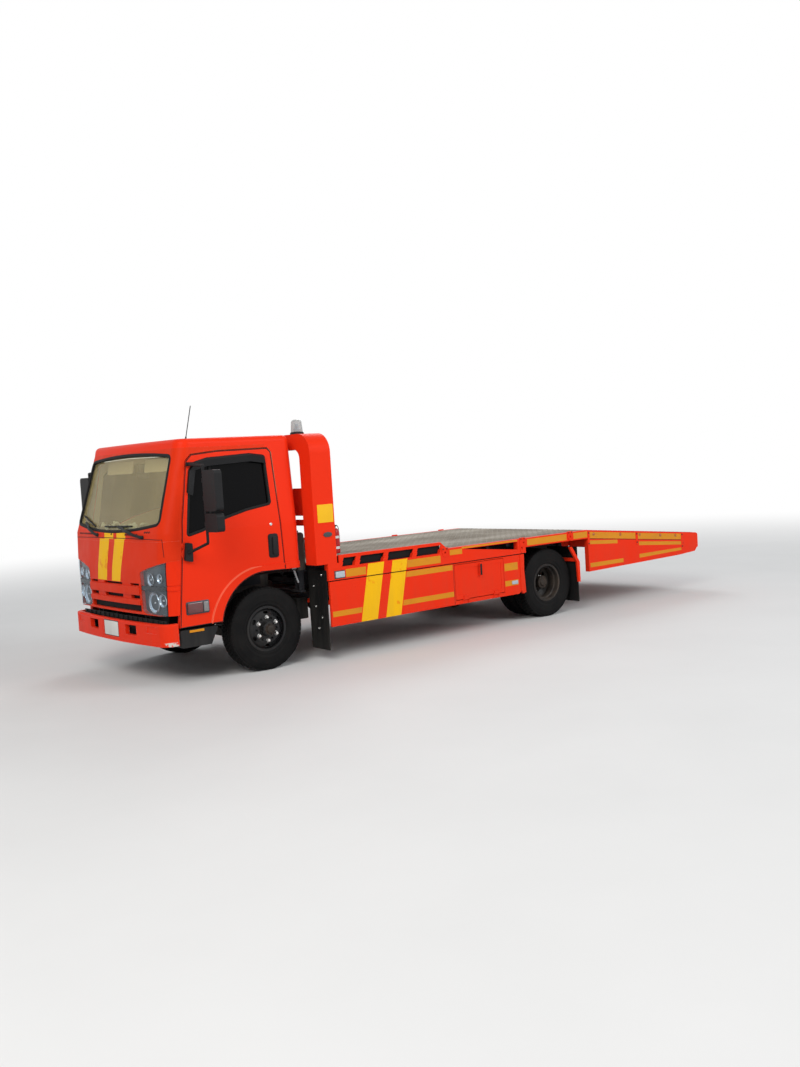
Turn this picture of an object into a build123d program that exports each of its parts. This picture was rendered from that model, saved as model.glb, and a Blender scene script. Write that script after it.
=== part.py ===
from build123d import *
import math
import os

os.makedirs("parts", exist_ok=True)

# Cab-over recovery truck with a tilting, sliding flatbed.
# Millimetres. X points forward, Y to the truck's left, Z up, ground at zero.

# Overall sizes
overall_length = 7830
front_overhang = 1165
wheelbase = 3815
deck_width = 2300
deck_top = 965
front_axle_x = overall_length / 2 - front_overhang
rear_axle_x = front_axle_x - wheelbase
tail_end_x = -overall_length / 2

# Wheels
tyre_radius = 400
tyre_width = 205
rim_radius = 203
rim_flange_radius = 219
front_tyre_y = 833
twin_mid_y = 825
twin_spacing = 250
stud_circle = 222
hub_bore_gap = 0.08
bead_gap = 0.3

# Chassis
rail_half_span = 375
rail_top = 700
rail_height = 200
rail_flange = 65
rail_wall = 7
rail_front_x = front_axle_x + 880
rail_rear_x = front_axle_x - 4830
rest_gap = 6
seat_gap = 0.3

# Cab
cab_half_width = 1000
cab_front_x = front_axle_x + 1112
cab_rear_x = front_axle_x - 400
cab_wall = 52
sill_z = 545
belt_z = 1400
roof_split_z = 2165
roof_z = 2248
cab_front_z = 662
shut_gap = 7
glass_thickness = 5
glass_depth = 22
cab_pivot_x = front_axle_x + 1000
cab_pivot_z = 650
bumper_front_x = front_axle_x + front_overhang

# Bed
beam_bottom = 797
beam_front_x = front_axle_x - 600
beam_rear_x = front_axle_x - 4450
beam_depth = 60
deck_thickness = 8
tilt_pivot_x = front_axle_x - 4740
tilt_pivot_z = 745
tilt_rail_bottom = rail_top + rest_gap
tilt_rail_top = 850
skirt_top = 788
skirt_bottom = 345
moving_gap = 6


def box_between(x_pair, y_pair, z_pair):
    """Block between two x, two y and two z values."""
    with BuildPart() as block:
        mid = [(p[0] + p[1]) / 2 for p in (x_pair, y_pair, z_pair)]
        with Locations(tuple(mid)):
            Box(x_pair[1] - x_pair[0], y_pair[1] - y_pair[0], z_pair[1] - z_pair[0])
    return block.part


def side_prism(points, y_low, y_high, corner=0):
    """Prism of an x, z outline between two y values."""
    with BuildPart() as prism:
        with BuildSketch(Plane.XZ.offset(-y_high)) as outline:
            with BuildLine():
                Polyline(*points, close=True)
            make_face()
            if corner:
                fillet(outline.vertices(), corner)
        extrude(amount=y_high - y_low)
    return prism.part


def front_prism(points, x_low, x_high, corner=0):
    """Prism of a y, z outline between two x values."""
    with BuildPart() as prism:
        with BuildSketch(Plane.YZ.offset(x_low)) as outline:
            with BuildLine():
                Polyline(*points, close=True)
            make_face()
            if corner:
                fillet(outline.vertices(), corner)
        extrude(amount=x_high - x_low)
    return prism.part


def plan_prism(points, z_low, z_high, corner=0):
    """Prism of an x, y outline between two z values."""
    with BuildPart() as prism:
        with BuildSketch(Plane.XY.offset(z_low)) as outline:
            with BuildLine():
                Polyline(*points, close=True)
            make_face()
            if corner:
                fillet(outline.vertices(), corner)
        extrude(amount=z_high - z_low)
    return prism.part


def rod_along_y(x, z, radius, y_low, y_high):
    """Round bar along y."""
    with BuildPart() as bar:
        with BuildSketch(Plane.XZ.offset(-y_high)):
            with Locations((x, z)):
                Circle(radius)
        extrude(amount=y_high - y_low)
    return bar.part


def save(solid, name):
    """Label a finished piece and write its file."""
    solid.label = name
    export_step(solid, "parts/" + name + ".step")


def save_mirrored(solid, name):
    """Write the right-hand twin of a left-hand piece."""
    with BuildPart() as twin:
        mirror(solid, about=Plane.XZ)
    save(twin.part, name)


# Wheels: tyre and rim sections are turned about the axle
def tyre_at(x, y_mid):
    """One tyre, turned about its axle."""
    half = tyre_width / 2
    with BuildPart() as tyre:
        with BuildSketch(Plane.XY):
            with BuildLine():
                inner = Polyline(
                    (half - 24, rim_radius + bead_gap),
                    (-half + 24, rim_radius + bead_gap),
                    (-half + 24, rim_flange_radius + 2),
                    (-half + 8, rim_flange_radius + 20),
                )
                left = ThreePointArc(inner @ 1, (-half, 312), (-half + 12, 376))
                shoulder = ThreePointArc(left @ 1, (-half + 18, 389), (-half + 32, 394))
                crown = ThreePointArc(shoulder @ 1, (0, tyre_radius), (half - 32, 394))
                corner = ThreePointArc(crown @ 1, (half - 18, 389), (half - 12, 376))
                right = ThreePointArc(corner @ 1, (half, 312), (half - 8, rim_flange_radius + 20))
                Polyline(
                    right @ 1,
                    (half - 24, rim_flange_radius + 2),
                    (half - 24, rim_radius + bead_gap),
                )
            make_face()
        revolve(axis=Axis.X)
    turned = tyre.part.rotate(Axis.Z, 90)
    return turned.moved(Location((x, y_mid, tyre_radius)))


def rim_at(x, y_mid, disc_offset, side):
    """One disc wheel. The disc sits disc_offset outboard of the rim's middle."""
    half = tyre_width / 2
    wall = 7
    disc = disc_offset * side
    lip = half - 16
    with BuildPart() as rim:
        with BuildSketch(Plane.XY):
            with BuildLine():
                Polyline(
                    (-lip, rim_flange_radius),
                    (-lip + wall, rim_flange_radius),
                    (-lip + wall, rim_radius),
                    (-34, rim_radius - 4),
                    (-26, rim_radius - 16),
                    (26, rim_radius - 16),
                    (34, rim_radius - 4),
                    (lip - wall, rim_radius),
                    (lip - wall, rim_flange_radius),
                    (lip, rim_flange_radius),
                    (lip, rim_radius - wall),
                    (34, rim_radius - 4 - wall),
                    (26, rim_radius - 16 - wall),
                    (-26, rim_radius - 16 - wall),
                    (-34, rim_radius - 4 - wall),
                    (-lip, rim_radius - wall),
                    close=True,
                )
            make_face()
        revolve(axis=Axis.X)
        with BuildSketch(Plane.XY):
            with BuildLine():
                Polyline(
                    (disc - 5, 60),
                    (disc - 5, 138),
                    (disc - side * 26 - 5, 176),
                    (disc - side * 44 - 5, rim_radius - 3),
                    (disc - side * 44 + 5, rim_radius - 3),
                    (disc - side * 26 + 5, 176),
                    (disc + 5, 138),
                    (disc + 5, 60),
                    close=True,
                )
            make_face()
        revolve(axis=Axis.X)
        with BuildSketch(Plane.YZ.offset(disc - 60)):
            with PolarLocations(158, 6, start_angle=30):
                SlotOverall(52, 26, rotation=90)
        extrude(amount=120, mode=Mode.SUBTRACT)
    turned = rim.part.rotate(Axis.Z, 90)
    return turned.moved(Location((x, y_mid, tyre_radius)))


def hub_at(x, y_face, length_in, nose, drum_radius, drum_width, bore):
    """Hub with its flange, brake drum, nose and studs. It turns with the wheel."""
    with BuildPart() as hub:
        with BuildSketch(Plane.XY):
            with BuildLine():
                Polyline(
                    (-length_in, bore + hub_bore_gap),
                    (-length_in, drum_radius),
                    (-length_in + drum_width, drum_radius),
                    (-length_in + drum_width + 12, drum_radius - 18),
                    (-16, 132),
                    (0, 132),
                    (0, 74),
                    (nose - 8, 70),
                    (nose, 58),
                    (nose, 0),
                    (nose - 20, 0),
                    (nose - 20, bore + hub_bore_gap),
                    close=True,
                )
            make_face()
        revolve(axis=Axis.X)
        with BuildSketch(Plane.YZ.offset(-2)):
            with PolarLocations(stud_circle / 2, 6, start_angle=0):
                Circle(11)
        extrude(amount=34)
    turned = hub.part.rotate(Axis.Z, 90)
    return turned.moved(Location((x, y_face, tyre_radius)))


front_tyre_left = tyre_at(front_axle_x, front_tyre_y)
save(front_tyre_left, "front_tyre_left")
save_mirrored(front_tyre_left, "front_tyre_right")

# Each wheel is its rim and disc in one piece with the hub and brake drum
front_disc = 92
stub_radius = 34
disc_half = 5
front_hub_face = front_tyre_y + front_disc - disc_half
with BuildPart() as front_wheel_left:
    add(rim_at(front_axle_x, front_tyre_y, front_disc, 1))
    add(hub_at(front_axle_x, front_hub_face, 118, 62, 160, 70, stub_radius))
save(front_wheel_left.part, "front_wheel_left")
save_mirrored(front_wheel_left.part, "front_wheel_right")

outer_twin_y = twin_mid_y + twin_spacing / 2
inner_twin_y = twin_mid_y - twin_spacing / 2
with BuildPart() as rear_tyres_left:
    for tyre_y in (inner_twin_y, outer_twin_y):
        add(tyre_at(rear_axle_x, tyre_y))
save(rear_tyres_left.part, "rear_tyres_left")
save_mirrored(rear_tyres_left.part, "rear_tyres_right")

# The twin discs meet face to face on one hub
rear_disc = twin_spacing / 2 - disc_half
rear_stub_radius = 40
rear_hub_face = inner_twin_y + rear_disc - disc_half
with BuildPart() as rear_wheels_left:
    add(rim_at(rear_axle_x, inner_twin_y, rear_disc, 1))
    add(rim_at(rear_axle_x, outer_twin_y, rear_disc, -1))
    add(hub_at(rear_axle_x, rear_hub_face, 190, 150, 168, 110, rear_stub_radius))
save(rear_wheels_left.part, "rear_wheels_left")
save_mirrored(rear_wheels_left.part, "rear_wheels_right")

# Front axle: a forged beam whose ends carry the knuckles on kingpins
kingpin_y = 700
kingpin_radius = 16
with BuildPart() as front_axle_beam:
    with BuildSketch(Plane.YZ.offset(front_axle_x - 38)) as beam_front:
        with BuildLine():
            Polyline(
                (-660, 440),
                (-560, 430),
                (-470, 400),
                (-420, 345),
                (420, 345),
                (470, 400),
                (560, 430),
                (660, 440),
                (660, 365),
                (580, 350),
                (500, 290),
                (440, 265),
                (-440, 265),
                (-500, 290),
                (-580, 350),
                (-660, 365),
                close=True,
            )
        make_face()
    extrude(amount=76)
    for y in (-kingpin_y, kingpin_y):
        with BuildSketch(Plane.XY.offset(365)):
            with Locations((front_axle_x, y)):
                Circle(42)
        extrude(amount=75)
        with BuildSketch(Plane.XY.offset(300)):
            with Locations((front_axle_x, y)):
                Circle(kingpin_radius)
        extrude(amount=205)
    for y in (-400, 400):
        with Locations((front_axle_x, y, 385)):
            Box(120, 80, 80)
save(front_axle_beam.part, "front_axle_beam")

# Steering knuckle: a fork round the axle end, a stub for the hub and a steering arm
with BuildPart() as knuckle_left:
    for z_low, z_high in ((298, 355), (450, 507)):
        with BuildSketch(Plane.XY.offset(z_low)):
            with Locations((front_axle_x, kingpin_y)):
                Circle(42)
                Circle(kingpin_radius + 0.05, mode=Mode.SUBTRACT)
        extrude(amount=z_high - z_low)
    add(box_between((front_axle_x - 45, front_axle_x + 45), (kingpin_y + 50, kingpin_y + 74), (298, 507)))
    for z_low, z_high in ((298, 355), (450, 507)):
        arm_x = (front_axle_x - 38, front_axle_x + 38)
        add(box_between(arm_x, (kingpin_y + 22, kingpin_y + 60), (z_low, z_high)))
    with BuildSketch(Plane.XZ.offset(-(kingpin_y + 70))):
        with Locations((front_axle_x, tyre_radius)):
            Circle(60)
    extrude(amount=-26)
    with BuildSketch(Plane.XZ.offset(-(kingpin_y + 70))):
        with Locations((front_axle_x, tyre_radius)):
            Circle(stub_radius)
    extrude(amount=-(front_hub_face + 35 - kingpin_y - 70))
    with BuildSketch(Plane.XY.offset(304)):
        with BuildLine():
            Polyline(
                (front_axle_x - 20, kingpin_y + 40),
                (front_axle_x - 20, kingpin_y + 10),
                (front_axle_x - 185, kingpin_y - 58),
                (front_axle_x - 205, kingpin_y - 30),
                (front_axle_x - 200, kingpin_y - 12),
                close=True,
            )
        make_face()
    extrude(amount=30)
    with BuildSketch(Plane.XY.offset(290)):
        with Locations((front_axle_x, kingpin_y)):
            Circle(kingpin_radius + 0.05)
    extrude(amount=230, mode=Mode.SUBTRACT)
save(knuckle_left.part, "knuckle_left")
save_mirrored(knuckle_left.part, "knuckle_right")

# Rear axle: a banjo housing with tubes and stub ends
with BuildPart() as rear_axle:
    with BuildSketch(Plane.XY):
        with BuildLine():
            Polyline(
                (0, 0),
                (0, 165),
                (75, 160),
                (150, 118),
                (230, 70),
                (560, 66),
                (560, 0),
                close=True,
            )
        make_face()
    revolve(axis=Axis.X)
    mirror(about=Plane.YZ)
rear_axle_tube = rear_axle.part.rotate(Axis.Z, 90).moved(Location((rear_axle_x, 0, tyre_radius)))
rear_stub_end = rear_hub_face + 120
with BuildPart() as rear_axle_housing:
    add(rear_axle_tube)
    for y_low, y_high in ((-rear_stub_end, -555), (555, rear_stub_end)):
        add(rod_along_y(rear_axle_x, tyre_radius, rear_stub_radius, y_low, y_high))
    with BuildSketch(Plane.YZ.offset(rear_axle_x + 100)):
        with Locations((0, tyre_radius)):
            Circle(88)
    with BuildSketch(Plane.YZ.offset(rear_axle_x + 290)):
        with Locations((0, tyre_radius + 20)):
            Circle(46)
    loft(ruled=True)
save(rear_axle_housing.part, "rear_axle_housing")

# Chassis frame: two channel rails with cross members
# Each row: name, distance from the front axle, width, underside
cross_members = (
    ("front", 800, 120, 560),
    ("engine", 520, 90, 560),
    ("gearbox", -1080, 90, 672.2),
    ("middle", -1750, 90, 650),
    ("spring_front", -2960, 90, 600),
    ("axle", -3420, 80, 620),
    ("spring_rear", -4330, 90, 560),
    ("end", -4790, 80, 560),
)
with BuildPart() as chassis_frame:
    for side in (-1, 1):
        outer = rail_half_span * side
        inner = (rail_half_span - rail_flange) * side
        web = (rail_half_span - rail_wall) * side
        low = rail_top - rail_height
        points = (
            (outer, low),
            (outer, rail_top),
            (inner, rail_top),
            (inner, rail_top - rail_wall),
            (web, rail_top - rail_wall),
            (web, low + rail_wall),
            (inner, low + rail_wall),
            (inner, low),
        )
        add(front_prism(points, rail_rear_x, rail_front_x))
    for name, from_axle, width, low in cross_members:
        x_mid = front_axle_x + from_axle
        half_span = rail_half_span - rail_wall
        high = min(low + 100, rail_top - rail_wall)
        add(box_between((x_mid - width / 2, x_mid + width / 2), (-half_span, half_span), (low, low + 10)))
        for edge in (-1, 1):
            x_edge = x_mid + edge * (width / 2 - 4)
            add(box_between((x_edge - 4, x_edge + 4), (-half_span, half_span), (low, high)))
    for side in (-1, 1):
        y_low = 411 if side > 0 else -429
        points = (
            (tilt_pivot_x - 40, tilt_pivot_z - 10),
            (tilt_pivot_x - 24, tilt_pivot_z + 34),
            (tilt_pivot_x + 24, tilt_pivot_z + 34),
            (tilt_pivot_x + 46, tilt_pivot_z - 10),
            (tilt_pivot_x + 90, 560),
            (tilt_pivot_x - 80, 560),
        )
        add(side_prism(points, y_low, y_low + 18))
        y_inner = rail_half_span if side > 0 else -411
        add(box_between((tilt_pivot_x - 80, tilt_pivot_x + 90), (y_inner, y_inner + 36), (560, 640)))
    add(rod_along_y(tilt_pivot_x, tilt_pivot_z, 20, -432, 432))

# Leaf springs: each a bowed pack with its hangers
def leaf_pack(x_mid, y_mid, half_length, eye_z, seat_z, thickness, width):
    """A bowed spring pack and two hangers that reach the frame rail."""
    with BuildPart() as pack:
        with BuildSketch(Plane.XZ.offset(-(y_mid + width / 2))):
            with BuildLine():
                top = ThreePointArc(
                    (x_mid - half_length, eye_z),
                    (x_mid, seat_z + thickness),
                    (x_mid + half_length, eye_z),
                )
                low = ThreePointArc(
                    (x_mid - half_length, eye_z - 14),
                    (x_mid, seat_z),
                    (x_mid + half_length, eye_z - 14),
                )
                Line(top @ 0, low @ 0)
                Line(top @ 1, low @ 1)
            make_face()
        extrude(amount=width)
        for end in (-1, 1):
            x_end = x_mid + end * half_length
            add(rod_along_y(x_end, eye_z - 4, 24, y_mid - width / 2 - 6, y_mid + width / 2))
            points = (
                (x_end - 34, eye_z - 4),
                (x_end + 34, eye_z - 4),
                (x_end + 60, 660),
                (x_end - 60, 660),
            )
            hanger_y = rail_half_span if y_mid > 0 else -rail_half_span - 12
            add(side_prism(points, hanger_y, hanger_y + 12))
    return pack.part


spring_y = 425
spring_width = 2 * (spring_y - rail_half_span) - 12
with BuildPart() as leaf_springs:
    for side in (-1, 1):
        y_mid = spring_y * side
        add(leaf_pack(front_axle_x + 20, y_mid, 560, 545, 425.4, 40, spring_width))
        add(leaf_pack(rear_axle_x + 20, y_mid, 610, 590, 468.7, 55, spring_width))
save(leaf_springs.part, "leaf_springs")

# Engine, gearbox, shaft, tank and silencer
engine_x = (front_axle_x - 470, front_axle_x + 330)
save(box_between(engine_x, (-255, 255), (455, 1010)), "engine_block")

with BuildPart() as gearbox:
    with BuildSketch(Plane.YZ.offset(engine_x[0] - seat_gap)):
        with Locations((0, 640)):
            Circle(175)
    with BuildSketch(Plane.YZ.offset(front_axle_x - 640)):
        with Locations((0, 630)):
            Circle(120)
    loft(ruled=True)
    with BuildSketch(Plane.YZ.offset(front_axle_x - 640)):
        with Locations((0, 600)):
            Circle(104)
    with BuildSketch(Plane.YZ.offset(front_axle_x - 1120)):
        with Locations((0, 590)):
            Circle(75)
    loft(ruled=True)
save(gearbox.part, "gearbox")

shaft_front = (front_axle_x - 1120 - seat_gap, 590)
shaft_back = (rear_axle_x + 290 + seat_gap, 420)
flange_depth = 22
with BuildPart() as prop_shaft:
    with BuildSketch(Plane.YZ.offset(shaft_back[0] + flange_depth)):
        with Locations((0, shaft_back[1])):
            Circle(38)
    with BuildSketch(Plane.YZ.offset(shaft_front[0] - flange_depth)):
        with Locations((0, shaft_front[1])):
            Circle(38)
    loft(ruled=True)
    for x_low, z_mid in ((shaft_back[0], shaft_back[1]), (shaft_front[0] - flange_depth, shaft_front[1])):
        with BuildSketch(Plane.YZ.offset(x_low)):
            with Locations((0, z_mid)):
                Circle(54)
        extrude(amount=flange_depth)
save(prop_shaft.part, "prop_shaft")

with BuildPart() as fuel_tank:
    with BuildSketch(Plane.YZ.offset(front_axle_x - 2050)):
        with Locations((-830, 560)):
            RectangleRounded(400, 330, 60)
    extrude(amount=900)
    for strap_x in (front_axle_x - 1900, front_axle_x - 1350):
        add(box_between((strap_x - 25, strap_x + 25), (-635, -rail_half_span), (510, 550)))
save(fuel_tank.part, "fuel_tank")

with BuildPart() as exhaust:
    with BuildSketch(Plane.YZ.offset(front_axle_x - 1900)):
        with Locations((640, 520)):
            Ellipse(125, 105)
    extrude(amount=700)
    with BuildSketch(Plane.YZ.offset(front_axle_x - 1200)):
        with Locations((640, 520)):
            Circle(34)
    extrude(amount=500)
    with BuildSketch(Plane.YZ.offset(front_axle_x - 2650)):
        with Locations((640, 520)):
            Circle(34)
    extrude(amount=750)
    for strap_x in (front_axle_x - 1750, front_axle_x - 1350):
        add(box_between((strap_x - 15, strap_x + 15), (rail_half_span, 560), (520, 550)))
save(exhaust.part, "exhaust")


# Cab: nested lofts give the wall, and the panels are cut from it
def cab_plan(z, half_width, front_x, bow, front_corner, rear_corner, inset):
    """Plan outline of the cab at one height."""
    wide = half_width - inset
    front = front_x - inset
    rear = cab_rear_x + inset
    with BuildSketch(Plane.XY.offset(z)) as plan:
        with BuildLine():
            left = Line((rear, wide), (front - bow, wide))
            bowed = ThreePointArc(left @ 1, (front, 0), (front - bow, -wide))
            right = Line(bowed @ 1, (rear, -wide))
            Line(right @ 1, left @ 0)
        make_face()
        front_points = plan.vertices().sort_by(Axis.X)[2:]
        fillet(front_points, max(front_corner - inset, 20))
        rear_points = plan.vertices().sort_by(Axis.X)[:2]
        fillet(rear_points, max(rear_corner - inset, 8))
    return plan.sketch


# Each row: height, half width, front, bow, front corner radius, rear corner radius
cab_levels = (
    (sill_z, 990, cab_front_x - 8, 48, 150, 70),
    (1080, 1000, cab_front_x, 52, 150, 70),
    (belt_z, 998, cab_front_x - 16, 52, 140, 70),
    (roof_split_z, 938, cab_front_x - 262, 38, 118, 70),
)


def cab_form(inset):
    """Solid cab body, set in by a wall thickness."""
    with BuildPart() as form:
        for lower, upper in zip(cab_levels[:-1], cab_levels[1:]):
            loft([cab_plan(*lower, inset), cab_plan(*upper, inset)], ruled=True)
    return form.part


def roof_form(inset):
    """Roof cap with rounded edges above the pillars."""
    level = cab_levels[-1]
    with BuildPart() as cap:
        top_level = (roof_z - inset, level[1] - 6, level[2] - 14, level[3], level[4], level[5])
        loft([cab_plan(*level, inset), cab_plan(*top_level, inset)], ruled=True)
        if inset == 0:
            fillet(cap.faces().sort_by(Axis.Z)[-1].edges(), 58)
    return cap.part


cab_outer = cab_form(0)
cab_inner = cab_form(cab_wall)
with BuildPart() as cab_skin:
    add(cab_outer)
    add(cab_inner, mode=Mode.SUBTRACT)

# Door outline from the sill, round the wheel arch and up to the roof rail
arch_top_z = 957


def door_region(grow, y_low, y_high):
    """Prism of the door outline, grown by a gap. Left side."""
    with BuildPart() as region:
        with BuildSketch(Plane.XZ.offset(-y_high)):
            with BuildLine():
                front = Polyline(
                    (front_axle_x + 512 - grow, sill_z - 2 * grow),
                    (front_axle_x + 944 + grow, sill_z - 2 * grow),
                    (front_axle_x + 856 + grow, 1500),
                    (front_axle_x + 842 + grow, 1563),
                    (front_axle_x + 752 + grow, 2040 + grow),
                    (front_axle_x + 690 + grow, 2098 + grow),
                    (front_axle_x + 420, 2122 + grow),
                    (front_axle_x - 120 - grow, 2128 + grow),
                    (front_axle_x - 160 - grow, 2090),
                    (front_axle_x - 206 - grow, arch_top_z - 2 * grow),
                    (front_axle_x + 70, arch_top_z - 2 * grow),
                )
                ThreePointArc(
                    front @ 1,
                    (front_axle_x + 365 - grow, 822 - grow),
                    front @ 0,
                )
            make_face()
        extrude(amount=y_high - y_low)
    return region.part


flare_lift = 9

# Door hinges: pins on the front panel, along the shut line, in hollows in the door's front edge
hinge_low = (front_axle_x + 944, sill_z)
hinge_high = (front_axle_x + 842, 1563)
hinge_set_back = 2
hinge_y = 999.5
door_pin_radius = 4.5
door_pin_gap = 0.05
door_pin_spots = ((1184, 1234), (1262, 1312))


def hinge_x(z):
    """Where the door's hinge line is at one height."""
    share = (z - hinge_low[1]) / (hinge_high[1] - hinge_low[1])
    return hinge_low[0] + share * (hinge_high[0] - hinge_low[0]) - hinge_set_back


def door_pins(radius, extra):
    """Pins along the left door's hinge line, each longer by extra at both ends."""
    with BuildPart() as pins:
        for z_low, z_high in door_pin_spots:
            foot = (hinge_x(z_low - extra), hinge_y, z_low - extra)
            head = (hinge_x(z_high + extra), hinge_y, z_high + extra)
            with BuildLine() as pin_line:
                Line(foot, head)
            with BuildSketch(Plane(origin=foot, z_dir=pin_line.line % 0)):
                Circle(radius)
            sweep(path=pin_line.line)
    return pins.part


def pin_brackets():
    """Short plates that join each pin to the front panel across the shut gap."""
    with BuildPart() as plates:
        for z_low, z_high in door_pin_spots:
            points = (
                (hinge_x(z_low + 8), z_low + 8),
                (hinge_x(z_high - 8), z_high - 8),
                (hinge_x(z_high - 8) + 16, z_high - 8),
                (hinge_x(z_low + 8) + 16, z_low + 8),
            )
            add(side_prism(points, hinge_y - 3, hinge_y + 3))
    return plates.part


def bracket_ways():
    """Notches in the door's front edge that the brackets lie in, open to the outside."""
    with BuildPart() as ways:
        for z_low, z_high in door_pin_spots:
            points = (
                (hinge_x(z_low + 6), z_low + 6),
                (hinge_x(z_high - 6), z_high - 6),
                (hinge_x(z_high - 6) + 20, z_high - 6),
                (hinge_x(z_low + 6) + 20, z_low + 6),
            )
            add(side_prism(points, hinge_y - 4.5, 1100))
    return ways.part


def flare_band(y_low, y_high):
    """Prism between the wheel arch lip and the ridge line round it. Left side."""
    with BuildPart() as band:
        with BuildSketch(Plane.XZ.offset(-y_high)):
            with BuildLine():
                ridge = Polyline(
                    (front_axle_x + 512, sill_z - 1),
                    (front_axle_x + 627, sill_z - 1),
                )
                arc = ThreePointArc(ridge @ 1, (front_axle_x + 442, 870), (front_axle_x + 60, 1018))
                low = Polyline(
                    arc @ 1,
                    (cab_rear_x - 20, 1018),
                    (cab_rear_x - 20, arch_top_z),
                    (front_axle_x + 70, arch_top_z),
                )
                ThreePointArc(low @ 1, (front_axle_x + 365, 822), ridge @ 0)
            make_face()
        extrude(amount=y_high - y_low)
    return band.part


with BuildPart() as flare_left:
    add(cab_form(-flare_lift))
    add(cab_form(4), mode=Mode.SUBTRACT)
    add(flare_band(800, 1100), mode=Mode.INTERSECT)
with BuildPart() as flares:
    add(flare_left.part)
    mirror(flare_left.part, about=Plane.XZ)

door_hole = door_region(shut_gap, 700, 1100)
with BuildPart() as door_holes:
    add(door_hole)
    mirror(door_hole, about=Plane.XZ)

# Side window outline, as x and z from the front axle and ground
window_points = (
    (808, 1372),
    (640, 1412),
    (400, 1506),
    (170, 1562),
    (-92, 1600),
    (-78, 2052),
    (80, 2072),
    (540, 2050),
    (660, 2020),
    (718, 1960),
)


def window_region(grow):
    """Prism of the side window outline."""
    with BuildPart() as region:
        with BuildSketch(Plane.XZ.offset(-1100)) as outline:
            with BuildLine():
                Polyline(*[(front_axle_x + x, z) for x, z in window_points], close=True)
            make_face()
            fillet(outline.vertices(), 26)
            offset(amount=grow)
        extrude(amount=400)
    return region.part


def windscreen_region(grow):
    """Prism of the windscreen outline."""
    with BuildPart() as region:
        with BuildSketch(Plane.YZ.offset(front_axle_x + 600)) as outline:
            with BuildLine():
                low = ThreePointArc((-880, 1492), (0, 1424), (880, 1492))
                side = Line(low @ 1, (836, 2096))
                top = ThreePointArc(side @ 1, (0, 2134), (-836, 2096))
                Line(top @ 1, low @ 0)
            make_face()
            fillet(outline.vertices(), 62)
            offset(amount=grow)
        extrude(amount=700)
    return region.part


def rear_window_region(grow):
    """Prism of the rear window outline."""
    points = ((-520, 1500), (520, 1500), (500, 1990), (-500, 1990))
    with BuildPart() as region:
        with BuildSketch(Plane.YZ.offset(cab_rear_x - 50)) as outline:
            with BuildLine():
                Polyline(*points, close=True)
            make_face()
            fillet(outline.vertices(), 70)
            offset(amount=grow)
        extrude(amount=200)
    return region.part


def skin_layer(depth, thickness):
    """Thin layer of the cab wall at a depth under the outer surface."""
    with BuildPart() as layer:
        add(cab_form(depth))
        add(cab_form(depth + thickness), mode=Mode.SUBTRACT)
    return layer.part


glass_layer = skin_layer(glass_depth, glass_thickness)

# Doors
with BuildPart() as door_left:
    add(cab_skin.part)
    add(flare_left.part)
    add(door_region(0, 700, 1100), mode=Mode.INTERSECT)
    add(window_region(0), mode=Mode.SUBTRACT)
    add(door_pins(door_pin_radius + door_pin_gap, 3), mode=Mode.SUBTRACT)
    add(bracket_ways(), mode=Mode.SUBTRACT)
save(door_left.part, "door_left")
save_mirrored(door_left.part, "door_right")

with BuildPart() as door_glass_left:
    add(glass_layer)
    add(window_region(-0.5), mode=Mode.INTERSECT)
save(door_glass_left.part, "door_glass_left")
save_mirrored(door_glass_left.part, "door_glass_right")

# Rear wall with the pillars behind the doors
rear_split_x = front_axle_x - 100
with BuildPart() as cab_rear:
    add(cab_skin.part)
    add(flares.part)
    keep = box_between((cab_rear_x - 50, rear_split_x), (-1100, 1100), (arch_top_z, roof_split_z))
    add(keep, mode=Mode.INTERSECT)
    add(door_holes.part, mode=Mode.SUBTRACT)
    add(rear_window_region(0), mode=Mode.SUBTRACT)
    hump_way = box_between((cab_rear_x - 50, cab_rear_x + 200), (-270, 270), (900, 1060))
    add(hump_way, mode=Mode.SUBTRACT)
save(cab_rear.part, "cab_rear")

# Windscreen frame with both front pillars and the strip over the doors
seam_z = 1332
with BuildPart() as windscreen_frame:
    add(cab_skin.part)
    keep = box_between((rear_split_x, cab_front_x + 50), (-1100, 1100), (seam_z, roof_split_z))
    add(keep, mode=Mode.INTERSECT)
    add(door_holes.part, mode=Mode.SUBTRACT)
    add(windscreen_region(0), mode=Mode.SUBTRACT)
save(windscreen_frame.part, "windscreen_frame")

with BuildPart() as cab_glass:
    add(windscreen_region(-0.5))
    add(rear_window_region(-0.5))
    add(glass_layer, mode=Mode.INTERSECT)
save(cab_glass.part, "cab_glass")

with BuildPart() as cab_roof:
    add(roof_form(0))
    add(roof_form(cab_wall), mode=Mode.SUBTRACT)
save(cab_roof.part, "cab_roof")

# Front panel below the windscreen, with its slots and lamp places
lamp_points = ((560, 700), (560, 1050), (700, 1092), (1060, 1168), (1060, 655), (620, 672))
lamp_left = front_prism(lamp_points, cab_front_x - 300, cab_front_x + 60, 18)
lamp_edge = 545
bar_lift = 14

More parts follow.
